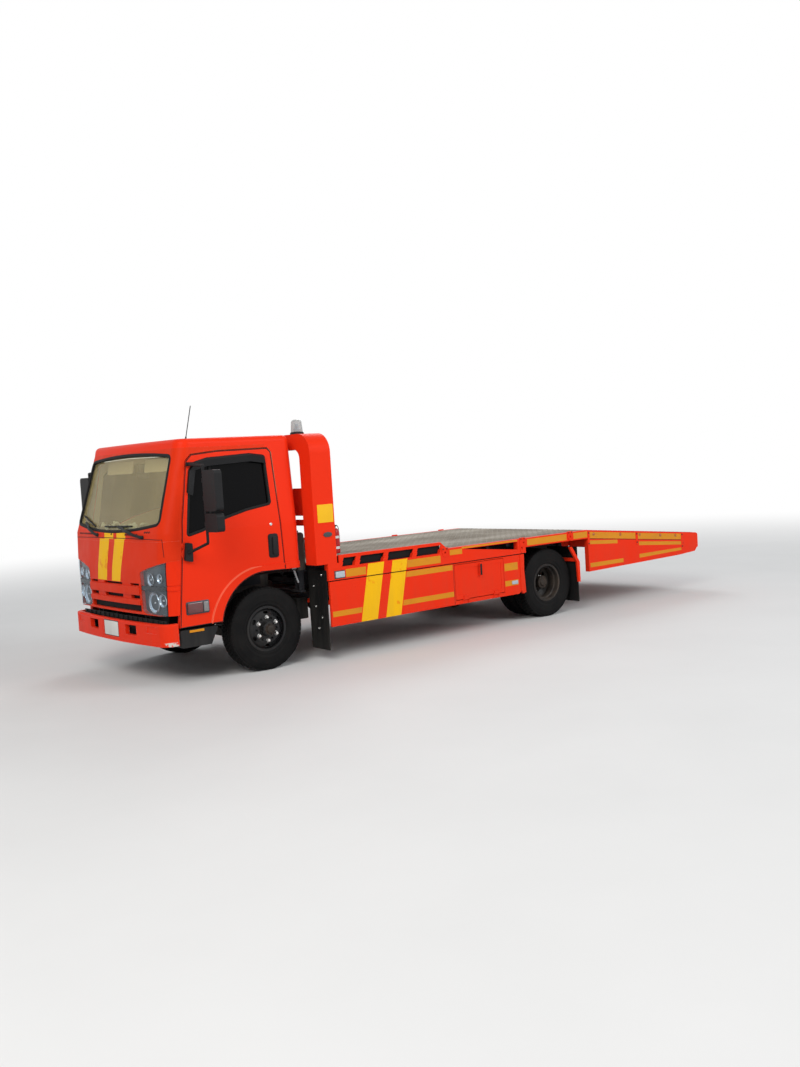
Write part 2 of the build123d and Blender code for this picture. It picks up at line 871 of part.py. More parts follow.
# Each row: lowest and highest z, and the y spans of its openings
slot_rows = (
    (924, 946, ((-530, -360), (-200, 200), (360, 530))),
    (802, 836, ((-530, -360), (-200, 200), (360, 530))),
    (682, 744, ((-540, 540),)),
)
bar_rows = ((842, 918), (750, 796))
slot_backing = 34
with BuildPart() as slots:
    for z_low, z_high, spans in slot_rows:
        for y_low, y_high in spans:
            add(box_between((cab_front_x - 200, cab_front_x + 50), (y_low, y_high), (z_low, z_high)))
with BuildPart() as grille_bars:
    add(skin_layer(-bar_lift, bar_lift + 2))
    with BuildPart(mode=Mode.PRIVATE) as bar_bands:
        for z_low, z_high in bar_rows:
            bar = box_between((front_axle_x + 900, cab_front_x + 50), (-lamp_edge, lamp_edge), (z_low, z_high))
            add(bar)
    add(bar_bands.part, mode=Mode.INTERSECT)
with BuildPart() as front_panel:
    add(cab_skin.part)
    keep = box_between((front_axle_x + 800, cab_front_x + 50), (-1100, 1100), (cab_front_z, seam_z - seat_gap))
    add(keep, mode=Mode.INTERSECT)
    add(door_holes.part, mode=Mode.SUBTRACT)
    add(grille_bars.part)
    add(lamp_left, mode=Mode.SUBTRACT)
    mirror(lamp_left, about=Plane.XZ, mode=Mode.SUBTRACT)
    add(slots.part, mode=Mode.SUBTRACT)
    for piece in (door_pins(door_pin_radius, 0), pin_brackets()):
        add(piece)
        mirror(piece, about=Plane.XZ)
save(front_panel.part, "front_panel")

with BuildPart() as grille_backing:
    for z_low, z_high, spans in slot_rows:
        for y_low, y_high in spans:
            y_pair = (y_low + seat_gap, y_high - seat_gap)
            z_pair = (z_low + seat_gap, z_high - seat_gap)
            add(box_between((cab_front_x - 200, cab_front_x + 50), y_pair, z_pair))
    add(skin_layer(slot_backing, 12), mode=Mode.INTERSECT)
save(grille_backing.part, "grille_backing")

# Headlamps, with a groove above and below the dark band between their two lenses
with BuildPart() as headlamps:
    add(lamp_left)
    mirror(lamp_left, about=Plane.XZ)
    add(skin_layer(3, 45), mode=Mode.INTERSECT)
    keep = box_between((front_axle_x + 870, cab_front_x + 50), (-1100, 1100), (cab_front_z, seam_z))
    add(keep, mode=Mode.INTERSECT)
    add(door_holes.part, mode=Mode.SUBTRACT)
    for z_mid in (884, 932):
        groove = box_between((front_axle_x + 700, cab_front_x + 50), (-1100, 1100), (z_mid - 3, z_mid + 3))
        with BuildPart(mode=Mode.PRIVATE) as groove_skin:
            add(skin_layer(-2, 11))
            add(groove, mode=Mode.INTERSECT)
        add(groove_skin.part, mode=Mode.SUBTRACT)
save(headlamps.part, "headlamps")

# Whip aerial on the front left corner of the roof
aerial_foot = (front_axle_x + 660, 800, roof_z - 30)
aerial_tip = (front_axle_x + 580, 800, roof_z + 302)
with BuildPart() as aerial:
    with BuildLine() as aerial_line:
        Line(aerial_foot, aerial_tip)
    with BuildSketch(Plane(origin=aerial_foot, z_dir=aerial_line.line % 0)):
        Circle(4)
    sweep(path=aerial_line.line)
    with BuildSketch(Plane(origin=aerial_foot, z_dir=aerial_line.line % 0)):
        Circle(13)
    extrude(amount=52, taper=8)
    add(roof_form(-seat_gap), mode=Mode.SUBTRACT)
save(aerial.part, "aerial")

# Floor with its seat step and the hump over the engine
floor_half = cab_half_width - cab_wall - 10
hump_half = 300
with BuildPart() as cab_floor:
    floor_points = (
        (front_axle_x + 982, 760),
        (front_axle_x + 982, 795),
        (front_axle_x + 540, 795),
        (front_axle_x + 500, 1010),
        (cab_rear_x + cab_wall, 1010),
        (cab_rear_x + cab_wall, 975),
        (front_axle_x + 470, 975),
        (front_axle_x + 508, 760),
    )
    add(side_prism(floor_points, -floor_half + 60, floor_half - 60))
    tunnel = box_between((cab_rear_x + cab_wall, front_axle_x + 640), (-hump_half, hump_half), (762, 1090))
    add(tunnel)
    inside = hump_half - 35
    hollow = box_between((cab_rear_x, front_axle_x + 605), (-inside, inside), (600, 1055))
    add(hollow, mode=Mode.SUBTRACT)
    for y in (-520, 520):
        add(rod_along_y(cab_pivot_x, cab_pivot_z, 24, y - 30, y + 30))
        points = (
            (cab_pivot_x - 24, cab_pivot_z),
            (cab_pivot_x - 5, cab_pivot_z + 20),
            (cab_pivot_x - 40, 762),
            (cab_pivot_x - 140, 762),
        )
        add(side_prism(points, y - 30, y + 30))
    add(rod_along_y(cab_pivot_x, cab_pivot_z, 12.05, -700, 700), mode=Mode.SUBTRACT)
save(cab_floor.part, "cab_floor")

# Step boxes under the doors
with BuildPart() as cab_step:
    outline = (
        (front_axle_x + 640, 360),
        (front_axle_x + 940, 360),
        (front_axle_x + 950, 520),
        (front_axle_x + 560, 520),
    )
    add(side_prism(outline, 760, 992, 14))
    hollow = (
        (front_axle_x + 665, 395),
        (front_axle_x + 915, 395),
        (front_axle_x + 925, 530),
        (front_axle_x + 600, 530),
    )
    add(side_prism(hollow, 790, 960), mode=Mode.SUBTRACT)
    add(box_between((front_axle_x + 560, front_axle_x + 930), (745, 760), (420, 760)))
with BuildPart() as cab_steps:
    add(cab_step.part)
    mirror(cab_step.part, about=Plane.XZ)
save(cab_steps.part, "cab_steps")

# Dashboard, steering wheel and seats
wheel_centre = (front_axle_x + 560, 530, 1400)
wheel_lean = 34
with BuildPart() as dashboard:
    dash_points = (
        (front_axle_x + 960, 1000),
        (front_axle_x + 1008.8, 1300),
        (front_axle_x + 1008.8, 1360),
        (front_axle_x + 930, 1400),
        (front_axle_x + 760, 1385),
        (front_axle_x + 700, 1300),
        (front_axle_x + 720, 1160),
        (front_axle_x + 830, 1060),
        (front_axle_x + 860, 1000),
    )
    add(side_prism(dash_points, -800, 800, 16))
    with Locations(Location(wheel_centre, (0, -wheel_lean, 0))):
        with Locations((0, 0, -190)):
            Cylinder(34.5, 400, mode=Mode.SUBTRACT)
save(dashboard.part, "dashboard")

with BuildPart() as steering_wheel:
    with Locations(Location(wheel_centre, (0, -wheel_lean, 0))):
        Torus(205, 15)
        Cylinder(52, 40)
        for turn in (90, 210, 330):
            with Locations(Location((0, 0, 0), (0, 0, turn))):
                with Locations((105, 0, 0)):
                    Box(200, 26, 14)
        with Locations((0, 0, -190)):
            Cylinder(34, 340)
save(steering_wheel.part, "steering_wheel")

seat_table = (
    ("driver", 560, 490),
    ("middle", 0, 520),
    ("passenger", -560, 490),
)
with BuildPart() as seats:
    for name, y_mid, width in seat_table:
        base_z = (1090 if name == "middle" else 1010) + seat_gap
        cushion = (
            (front_axle_x - 220, base_z),
            (front_axle_x + 330, base_z),
            (front_axle_x + 350, 1215),
            (front_axle_x - 220, 1190),
        )
        back = (
            (front_axle_x - 200, 1180),
            (front_axle_x - 110, 1190),
            (front_axle_x - 200, 1800),
            (front_axle_x - 280, 1800),
        )
        half = width / 2 - 8
        add(side_prism(cushion, y_mid - half, y_mid + half, 20))
        add(side_prism(back, y_mid - half + 10, y_mid + half - 10, 24))
save(seats.part, "seats")

# Fixed half of the cab hinges, with the beam that also carries the bumper
with BuildPart() as hinge_mounts:
    for side in (-1, 1):
        y_mid = 520 * side
        add(rod_along_y(cab_pivot_x, cab_pivot_z, 12, y_mid - 60, y_mid + 60))
        for ear in (-1, 1):
            y_ear = y_mid + ear * 48
            points = (
                (cab_pivot_x - 26, cab_pivot_z - 20),
                (cab_pivot_x - 12, cab_pivot_z + 26),
                (cab_pivot_x + 14, cab_pivot_z + 26),
                (cab_pivot_x + 24, cab_pivot_z - 10),
                (cab_pivot_x + 20, 520),
                (cab_pivot_x - 100, 520),
            )
            add(side_prism(points, y_ear - 7, y_ear + 7))
    add(box_between((rail_front_x + 4, cab_pivot_x + 20), (-640, 640), (470, 522)))
    for side in (-1, 1):
        y_mid = side * 350
        add(box_between((rail_front_x, rail_front_x + 60), (y_mid - 25, y_mid + 25), (500, 640)))
        y_mid = side * 230
        add(box_between((cab_pivot_x + 20, bumper_front_x - 47), (y_mid - 30, y_mid + 30), (470, 522)))

# Bumper: a bowed shell with square tow openings
bumper_top = 592
bumper_bottom = 390


def bumper_plan(inset):
    """Plan outline of the bumper."""
    wide = 990 - inset
    front = bumper_front_x - inset
    with BuildSketch(Plane.XY.offset(bumper_bottom)) as plan:
        with BuildLine():
            left = Line((front_axle_x + 965, wide), (front - 62, wide))
            bowed = ThreePointArc(left @ 1, (front, 0), (front - 62, -wide))
            right = Line(bowed @ 1, (front_axle_x + 965, -wide))
            Line(right @ 1, left @ 0)
        make_face()
        fillet(plan.vertices().sort_by(Axis.X)[2:], 110 - inset)
    return plan.sketch


with BuildPart() as bumper:
    extrude(bumper_plan(0), amount=bumper_top - bumper_bottom)
    fillet(bumper.faces().sort_by(Axis.Z)[-1].edges().filter_by(GeomType.LINE, reverse=True), 14)
    extrude(bumper_plan(42), amount=bumper_top - bumper_bottom, mode=Mode.SUBTRACT)
    for y_low, y_high in ((-510, -300), (300, 510)):
        hole = box_between((bumper_front_x - 200, bumper_front_x + 50), (y_low, y_high), (468, 562))
        add(hole, mode=Mode.SUBTRACT)
    # Pressed recesses: one for the plate, one each side of the tow openings
    recesses = (((-165, 165), (425, 580)), ((700, 850), (506, 568)), ((-850, -700), (506, 568)))
    with BuildPart(mode=Mode.PRIVATE) as pressed:
        extrude(bumper_plan(-2), amount=bumper_top - bumper_bottom)
        extrude(bumper_plan(6), amount=bumper_top - bumper_bottom, mode=Mode.SUBTRACT)
        with BuildPart(mode=Mode.PRIVATE) as windows:
            for y_pair, z_pair in recesses:
                add(box_between((bumper_front_x - 90, bumper_front_x + 50), y_pair, z_pair))
        add(windows.part, mode=Mode.INTERSECT)
    add(pressed.part, mode=Mode.SUBTRACT)
save(bumper.part, "bumper")

# Mirrors on their arms, carried by the doors
with BuildPart() as mirror_left:
    head_x = front_axle_x + 715
    for z_low, z_high in ((1400, 1565), (1585, 1950)):
        with BuildSketch(Plane.YZ.offset(head_x - 40)):
            with Locations((1335, (z_low + z_high) / 2)):
                RectangleRounded(215, z_high - z_low, 34)
        extrude(amount=76)
    with BuildLine() as arm_path:
        Polyline(
            (front_axle_x + 838, 1016, 1210),
            (head_x + 20, 1225, 1300),
            (head_x + 20, 1225, 1990),
            (front_axle_x + 742, 974, 2010),
        )
    with BuildSketch(Plane(origin=arm_path.line @ 0, z_dir=arm_path.line % 0)):
        Circle(13)
    sweep(path=arm_path.line, transition=Transition.ROUND)
    foot_points = (
        (front_axle_x + 790, 1130),
        (front_axle_x + 786, 1300),
        (front_axle_x + 846, 1312),
        (front_axle_x + 868, 1150),
    )
    add(side_prism(foot_points, 999.9, 1034, 14))
    head_points = (
        (front_axle_x + 690, 1995),
        (front_axle_x + 690, 2030),
        (front_axle_x + 756, 2030),
        (front_axle_x + 762, 1995),
    )
    add(side_prism(head_points, 951.7, 992, 8))
save(mirror_left.part, "mirror_left")
save_mirrored(mirror_left.part, "mirror_right")

# Gantry arch that stands on the front of the bed
arch_front_x = front_axle_x - 470
arch_rear_x = front_axle_x - 715
arch_post = 180
arch_top = 2250
with BuildPart() as gantry_arch:
    with BuildSketch(Plane.YZ.offset(arch_rear_x)) as arch_outline:
        with Locations((0, (deck_top + arch_top) / 2)):
            Rectangle(deck_width, arch_top - deck_top)
        fillet(arch_outline.vertices().group_by(Axis.Y)[-1], 190)
    extrude(amount=arch_front_x - arch_rear_x)
    with BuildSketch(Plane.YZ.offset(arch_rear_x)) as arch_inside:
        low_z = 1715
        with Locations((0, (low_z + arch_top - 150) / 2)):
            Rectangle(deck_width - 2 * arch_post, arch_top - 150 - low_z)
        fillet(arch_inside.vertices().group_by(Axis.Y)[-1], 90)
    extrude(amount=arch_front_x - arch_rear_x, mode=Mode.SUBTRACT)
    inner_half = deck_width / 2 - arch_post
    low_gap = box_between((arch_rear_x, arch_front_x), (-inner_half, inner_half), (deck_top, 1715))
    add(low_gap, mode=Mode.SUBTRACT)
with BuildPart() as whole_arch:
    add(gantry_arch.part)
    panel_x = (arch_front_x - 150, arch_front_x - 120)
    add(box_between(panel_x, (-inner_half - 1, inner_half + 1), (1440, 1715)))
    for z_low, z_high in ((1340, 1400), (1195, 1220)):
        add(box_between(panel_x, (-inner_half - 1, inner_half + 1), (z_low, z_high)))
save(whole_arch.part, "gantry_arch")

with BuildPart() as beacon:
    with Locations((front_axle_x - 592, 780, arch_top + 13)):
        Cylinder(70, 26)
    with BuildSketch(Plane.XY.offset(arch_top + 26)):
        with Locations((front_axle_x - 592, 780)):
            Circle(62)
    extrude(amount=125, taper=5)
save(beacon.part, "beacon")

# Bed: deck plate, beams, cross bearers and side beams
tail_nose_z = 745
tail_tip_x = tail_end_x + 30
with BuildPart() as deck_plate:
    deck_points = (
        (beam_front_x, deck_top - deck_thickness),
        (beam_front_x, deck_top),
        (beam_rear_x, deck_top),
        (tail_tip_x, tail_nose_z),
        (tail_tip_x, tail_nose_z - deck_thickness),
        (beam_rear_x, deck_top - deck_thickness),
    )
    half = deck_width / 2 - beam_depth
    add(side_prism(deck_points, -half, half))
save(deck_plate.part, "deck_plate")

under_deck = deck_top - deck_thickness
runner_bottom = tilt_rail_top + rest_gap
with BuildPart() as deck_bearers:
    for side in (-1, 1):
        y_pair = (330, 410) if side > 0 else (-410, -330)
        add(box_between((beam_rear_x, beam_front_x - 20), y_pair, (runner_bottom, under_deck)))
    for index in range(13):
        x_mid = beam_front_x - 60 - index * 310
        half = deck_width / 2 - beam_depth
        add(box_between((x_mid - 20, x_mid + 20), (-half, half), (under_deck - 62, under_deck)))
save(deck_bearers.part, "deck_bearers")


# Slanted windows in the rail on the side beam: where each starts and ends from the front axle
rail_windows = ((-770, -925), (-985, -1285), (-1345, -1675), (-1735, -2060))
rail_high = 1040
beam_y = (deck_width / 2 - beam_depth, deck_width / 2)
bracket_hole = 11
bracket_lift = 6

# Each row: middle of a tie-down bracket from the front axle, its lowest z, and its hole spots
bracket_rows = (
    (-2135, 880, ((0, 925),)),
    (-3320, 800, ((-18, 920), (18, 862))),
    (-4130, 868, ((0, 915),)),
)
with BuildPart() as side_beam:
    beam_points = (
        (beam_front_x, beam_bottom),
        (beam_front_x, deck_top),
        (front_axle_x - 4450, deck_top),
        (front_axle_x - 4450, 863),
        (front_axle_x - 3372, 863),
        (front_axle_x - 3372, beam_bottom),
    )
    add(side_prism(beam_points, *beam_y))
    wedge = (
        (front_axle_x - 2400, 936),
        (front_axle_x - 3240, 936),
        (front_axle_x - 3240, 848),
    )
    add(side_prism(wedge, *beam_y), mode=Mode.SUBTRACT)
    rail_points = (
        (front_axle_x - 745, deck_top - 10),
        (front_axle_x - 745, rail_high),
        (front_axle_x - 2085, rail_high),
        (front_axle_x - 2190, deck_top - 10),
    )
    add(side_prism(rail_points, 1128, 1140))
    add(box_between((front_axle_x - 2085, front_axle_x - 745), (1116, 1140), (rail_high - 12, rail_high)))
    for x_start, x_end in rail_windows:
        window = (
            (front_axle_x + x_start, 922),
            (front_axle_x + x_start - 34, 1008),
            (front_axle_x + x_end - 34, 1008),
            (front_axle_x + x_end, 922),
        )
        add(side_prism(window, 1106, 1160), mode=Mode.SUBTRACT)
    for from_axle, z_low, holes in bracket_rows:
        x_mid = front_axle_x + from_axle
        bracket = (
            (x_mid - 42, deck_top + 12),
            (x_mid + 42, deck_top + 12),
            (x_mid + 42, z_low + 40),
            (x_mid + 20, z_low),
            (x_mid - 20, z_low),
            (x_mid - 42, z_low + 40),
        )
        add(side_prism(bracket, deck_width / 2 - 12, deck_width / 2 + bracket_lift, 8))
        for hole_x, hole_z in holes:
            bore = rod_along_y(x_mid + hole_x, hole_z, bracket_hole, 1080, 1170)
            add(bore, mode=Mode.SUBTRACT)
with BuildPart() as side_beams:
    add(side_beam.part)
    mirror(side_beam.part, about=Plane.XZ)
save(side_beams.part, "side_beams")

# Tail: two tapering side plates joined by bearers, with round buffers
with BuildPart() as tail_frame:
    tail_points = (
        (beam_rear_x - 1, 459),
        (beam_rear_x - 1, deck_top - 2),
        (tail_tip_x, tail_nose_z - 2),
        (tail_tip_x, 540),
        (tail_tip_x + 40, 500),
        (beam_rear_x - 1800, 482),
    )
    for y_low in (-deck_width / 2, deck_width / 2 - beam_depth + seat_gap):
        add(side_prism(tail_points, y_low, y_low + beam_depth - seat_gap))
    slope = (deck_top - tail_nose_z) / (beam_rear_x - tail_tip_x)
    for index in range(6):
        x_mid = beam_rear_x - 280 - index * 340
        z_under = deck_top - slope * (beam_rear_x - x_mid + 20) - deck_thickness - seat_gap
        half = deck_width / 2 - beam_depth + 1
        add(box_between((x_mid - 20, x_mid + 20), (-half, half), (z_under - 52, z_under)))
    add(box_between((tail_tip_x, tail_tip_x + 12), (-1095, 1095), (500, tail_nose_z - 14)))
    # Round lamp wells along the top edge
    for from_axle, z_mid in ((-4560, 905), (-5060, 858), (-5440, 822), (-5860, 776), (-6180, 742)):
        well_x = front_axle_x + from_axle
        for side in (-1, 1):
            y_low = side * (deck_width / 2) - (10 if side > 0 else 1)
            add(rod_along_y(well_x, z_mid, 21, y_low, y_low + 11), mode=Mode.SUBTRACT)

with BuildPart() as tail_buffers:
    for side in (-1, 1):
        with BuildSketch(Plane.XZ.offset(-(side * 1120 + 30))) as buffer_outline:
            with Locations(((tail_tip_x + tail_end_x) / 2, 640)):
                Rectangle(tail_tip_x - tail_end_x, 190)
            fillet(buffer_outline.vertices().group_by(Axis.X)[0], 24)
        extrude(amount=60)
with BuildPart() as whole_tail:
    add(tail_frame.part)
    add(tail_buffers.part)
save(whole_tail.part, "tail_frame")

with BuildPart() as rear_lamps:
    for side in (-1, 1):
        for y_mid, width in ((700, 90), (800, 90), (900, 90)):
            y_pair = (side * y_mid - width / 2, side * y_mid + width / 2)
            lamp = box_between((tail_tip_x - 24, tail_tip_x - seat_gap), y_pair, (596, 676))
            add(lamp)
    fillet(rear_lamps.edges().filter_by(Axis.X), 10)
save(rear_lamps.part, "rear_lamps")

# Winch at the front of the deck: drum between two side plates, motor on the right
winch_x = front_axle_x - 1080
winch_z = deck_top + 118
with BuildPart() as winch:
    for y_low in (-236, 224):
        points = (
            (winch_x - 120, deck_top + seat_gap),
            (winch_x - 100, deck_top + 150),
            (winch_x - 55, deck_top + 215),
            (winch_x + 55, deck_top + 215),
            (winch_x + 100, deck_top + 150),
            (winch_x + 120, deck_top + seat_gap),
        )
        add(side_prism(points, y_low, y_low + 12, 6))
    add(rod_along_y(winch_x, winch_z, 58, -225, 225))
    add(rod_along_y(winch_x, winch_z, 96, -222, -212))
    add(rod_along_y(winch_x, winch_z, 96, 212, 222))
    add(rod_along_y(winch_x, winch_z, 74, -345, -235))
    add(rod_along_y(winch_x, winch_z, 46, -420, -344))
    for x_off in (-105, 105):
        add(box_between((winch_x + x_off - 9, winch_x + x_off + 9), (-225, 225), (deck_top + 8, deck_top + 26)))
save(winch.part, "winch")

# Fire extinguisher strapped to the rear of the left post
bottle_x = arch_rear_x - 62
with BuildPart() as extinguisher:
    with BuildSketch(Plane.XZ) as bottle_half:
        with BuildLine():
            body = Polyline((0, 1052), (46, 1052), (52, 1062), (52, 1262))
            crown = ThreePointArc(body @ 1, (40, 1292), (16, 1304))
            Polyline(crown @ 1, (16, 1330), (0, 1330), (0, 1052))
        make_face()
    revolve(axis=Axis.Z)
    with Locations((0, 0, 1340)):
        Box(70, 26, 20)
    for z_mid in (1100, 1230):
        strap = box_between((0, 62 - seat_gap), (-20, 20), (z_mid - 10, z_mid + 10))
        add(strap)
save(extinguisher.part.moved(Location((bottle_x, 1045, 0))), "extinguisher")

# Lift cylinder pins: lower one on the chassis, upper eye under the tilt frame
lift_y = 520
lift_base = (front_axle_x - 2560, 585)
lift_eye = (front_axle_x - 1600, 775)
lift_rod_radius = 19
lift_pin_radius = 14

# Tilt frame between chassis and bed, hinged at the rear of the chassis
with BuildPart() as tilt_frame:
    for side in (-1, 1):
        y_pair = (335, 405) if side > 0 else (-405, -335)
        add(box_between((tilt_pivot_x - 34, beam_front_x - 150), y_pair, (tilt_rail_bottom, tilt_rail_top)))
    for from_axle in (-860, -1500, -2600, -3500, -4200):
        x_mid = front_axle_x + from_axle
        add(box_between((x_mid - 30, x_mid + 30), (-340, 340), (tilt_rail_bottom + 6, tilt_rail_bottom + 54)))
    for side in (-1, 1):
        for ear_y in (lift_y - 48, lift_y + 34):
            y_low = ear_y if side > 0 else -ear_y - 14
            points = (
                (lift_eye[0] - 70, lift_eye[1] - 30),
                (lift_eye[0] - 80, lift_eye[1] + 62),
                (lift_eye[0] + 80, lift_eye[1] + 62),
                (lift_eye[0] + 60, lift_eye[1] - 40),
            )
            add(side_prism(points, y_low, y_low + 14))
        y_pair = (404, lift_y + 48) if side > 0 else (-lift_y - 48, -404)
        add(box_between((lift_eye[0] - 80, lift_eye[0] + 80), y_pair, (lift_eye[1] + 50, lift_eye[1] + 62)))
    for from_axle in (-900, -2100, -3300, -4380):
        x_mid = front_axle_x + from_axle
        for y_mid in (-370, 370):
            pad_z = (tilt_rail_top - 1, runner_bottom - seat_gap)
            add(box_between((x_mid - 60, x_mid + 60), (y_mid - 30, y_mid + 30), pad_z))
    eye = rod_along_y(tilt_pivot_x, tilt_pivot_z, 20.06, -500, 500)
    add(eye, mode=Mode.SUBTRACT)
save(tilt_frame.part, "tilt_frame")

# Lift cylinders: each barrel turns on the chassis, each rod slides in its barrel
lift_run = (lift_eye[0] - lift_base[0], lift_eye[1] - lift_base[1])
lift_length = math.hypot(*lift_run)
lift_rise = math.degrees(math.atan2(lift_run[1], lift_run[0]))
barrel_length = 740
with BuildPart() as lift_barrel:
    with BuildSketch(Plane.YZ.offset(16)):
        Circle(18)
    extrude(amount=84)
    with BuildSketch(Plane.YZ.offset(84)):
        Circle(44)
    extrude(amount=barrel_length - 84)
    with BuildSketch(Plane.XZ.offset(-22)):
        Circle(30)
    extrude(amount=44)
    with BuildSketch(Plane.YZ.offset(104)):
        Circle(36)
    extrude(amount=barrel_length - 134, mode=Mode.SUBTRACT)
    with BuildSketch(Plane.YZ.offset(110)):
        Circle(lift_rod_radius + 0.08)
    extrude(amount=barrel_length, mode=Mode.SUBTRACT)
    with BuildSketch(Plane.XZ.offset(-30)):
        Circle(lift_pin_radius + 0.06)
    extrude(amount=60, mode=Mode.SUBTRACT)
with BuildPart() as lift_rod:
    with BuildSketch(Plane.YZ.offset(150)):
        Circle(lift_rod_radius)
    extrude(amount=lift_length - 170)
    with BuildSketch(Plane.YZ.offset(110)):
        Circle(33)
    extrude(amount=50)
    with BuildSketch(Plane.XZ.offset(-22)):
        with Locations((lift_length, 0)):
            Circle(30)
    extrude(amount=44)
    with BuildSketch(Plane.XZ.offset(-30)):
        with Locations((lift_length, 0)):
            Circle(lift_pin_radius)
    extrude(amount=60, mode=Mode.SUBTRACT)
lift_place = Location((lift_base[0], lift_y, lift_base[1]))
for name, piece in (("lift_barrel", lift_barrel.part), ("lift_rod", lift_rod.part)):
    placed = piece.rotate(Axis.Y, -lift_rise).moved(lift_place)
    save(placed, name + "_left")
    save_mirrored(placed, name + "_right")

# Lower pins of the lift cylinders, in brackets outside the frame rails
with BuildPart() as lift_mounts:
    for side in (-1, 1):
        for ear_y in (lift_y - 44, lift_y + 30):
            y_low = ear_y if side > 0 else -ear_y - 14
            points = (
                (lift_base[0] - 60, lift_base[1] - 50),
                (lift_base[0] - 60, lift_base[1] + 10),
                (lift_base[0] - 20, lift_base[1] + 40),
                (lift_base[0] + 25, lift_base[1] + 30),
                (lift_base[0] + 40, lift_base[1] - 50),
            )
            add(side_prism(points, y_low, y_low + 14))
        y_pair = (rail_half_span, lift_y + 44) if side > 0 else (-lift_y - 44, -rail_half_span)
        add(box_between((lift_base[0] - 60, lift_base[0] + 40), y_pair, (lift_base[1] - 64, lift_base[1] - 48)))
        y_mid = lift_y * side
        add(rod_along_y(lift_base[0], lift_base[1], lift_pin_radius, y_mid - 44, y_mid + 44))
with BuildPart() as whole_frame:
    add(chassis_frame.part)
    add(hinge_mounts.part)
    add(lift_mounts.part)
save(whole_frame.part, "chassis_frame")

# Slide cylinder along the middle: barrel on the tilt frame, rod on the bed
slide_z = 826
slide_front = front_axle_x - 800
slide_length = 2760
with BuildPart() as slide_barrel:
    with BuildSketch(Plane.YZ.offset(slide_front - slide_length)):
        with Locations((0, slide_z)):
            Circle(44)
    extrude(amount=slide_length)
    with BuildSketch(Plane.YZ.offset(slide_front - slide_length + 40)):
        with Locations((0, slide_z)):
            Circle(36)
    extrude(amount=slide_length - 70, mode=Mode.SUBTRACT)
    with BuildSketch(Plane.YZ.offset(slide_front - slide_length - 1)):
        with Locations((0, slide_z)):
            Circle(25.08)
    extrude(amount=60, mode=Mode.SUBTRACT)
    for clamp_x in (front_axle_x - 860, front_axle_x - 1500, front_axle_x - 2600, front_axle_x - 3500):
        add(box_between((clamp_x - 20, clamp_x + 20), (-50, 50), (tilt_rail_bottom + 54, slide_z - 40)))
save(slide_barrel.part, "slide_barrel")
with BuildPart() as slide_rod:
    with BuildSketch(Plane.YZ.offset(slide_front - slide_length - 70)):
        with Locations((0, slide_z)):
            Circle(25)
    extrude(amount=slide_length - 20)
    with BuildSketch(Plane.YZ.offset(slide_front - 140)):
        with Locations((0, slide_z)):
            Circle(33)
    extrude(amount=50)
    add(box_between((slide_front - slide_length - 100, slide_front - slide_length - 60), (-60, 60), (790, 894)))
save(slide_rod.part, "slide_rod")

# Side skirts with a locker each, its hinge pins, and the post behind the rear wheels
skirt_y = (1126, 1150)
locker_x = (front_axle_x - 3004, front_axle_x - 2256)
locker_z = (386, 778)
locker_gap = moving_gap
locker_wall = 10
locker_depth = 290
locker_hinge = (1161, 394)
hinge_pin_radius = 4.5
hinge_barrel_radius = 7.5
hinge_spots = (front_axle_x - 2860, front_axle_x - 2400)
flap_bearer_x = front_axle_x - 4260
guard_seat_x = beam_front_x + moving_gap
with BuildPart() as skirt:
    skirt_points = (
        (front_axle_x - 608, skirt_bottom),
        (front_axle_x - 608, skirt_top),
        (front_axle_x - 3268, skirt_top),
        (front_axle_x - 3268, skirt_bottom + 30),
        (front_axle_x - 3230, skirt_bottom),
    )
    add(side_prism(skirt_points, *skirt_y))
    post_points = (
        (front_axle_x - 3262, skirt_top),
        (front_axle_x - 3330, skirt_top),
        (front_axle_x - 3322, 600),
        (front_axle_x - 3338, 352),
        (front_axle_x - 3300, 340),
        (front_axle_x - 3262, 380),
    )
    add(side_prism(post_points, 1120, 1156))
    for from_axle in (-640, -1115, -2135, -3070):
        x_mid = front_axle_x + from_axle
        add(box_between((x_mid - 15, x_mid + 15), (rail_half_span, 1127), (560, 600)))
    outer = (locker_x[0] - locker_wall, locker_x[1] + locker_wall)
    box_y = (1127 - locker_depth, 1127)
    add(box_between(outer, box_y, (locker_z[0] - locker_wall, skirt_top)))
    inner_y = (1127 - locker_depth + locker_wall, 1160)
    add(box_between(locker_x, inner_y, locker_z), mode=Mode.SUBTRACT)
    for x_mid in hinge_spots:
        x_pair = (x_mid - 45, x_mid + 45)
        with BuildSketch(Plane.YZ.offset(x_mid - 45)):
            with Locations(locker_hinge):
                Circle(hinge_pin_radius)
        extrude(amount=90)
        for x_low in (x_mid - 45, x_mid + 33):
            with BuildSketch(Plane.YZ.offset(x_low)):
                with Locations(locker_hinge):
                    Circle(hinge_barrel_radius)
            extrude(amount=12)
            add(box_between((x_low, x_low + 12), (1149, 1158), (locker_z[0] - 34, locker_z[0] - 1)))
            add(box_between((x_low, x_low + 12), (1154, 1161), (locker_z[0] - 6, locker_hinge[1])))
    add(box_between((flap_bearer_x - 15, flap_bearer_x + 15), (rail_half_span, 1127), (604, 644)))
    rear_post = (
        (front_axle_x - 4112, skirt_top),
        (front_axle_x - 4160, skirt_top),
        (front_axle_x - 4284, 600),
        (front_axle_x - 4284, 360),
        (front_axle_x - 4250, 360),
        (front_axle_x - 4236, 600),
    )
    add(side_prism(rear_post, *skirt_y))
    # Arm that holds the front guard
    add(box_between((front_axle_x - 627, guard_seat_x), (880, 1100), (560, 600)))
with BuildPart() as side_skirts:
    add(skirt.part)
    mirror(skirt.part, about=Plane.XZ)
save(side_skirts.part, "side_skirts")

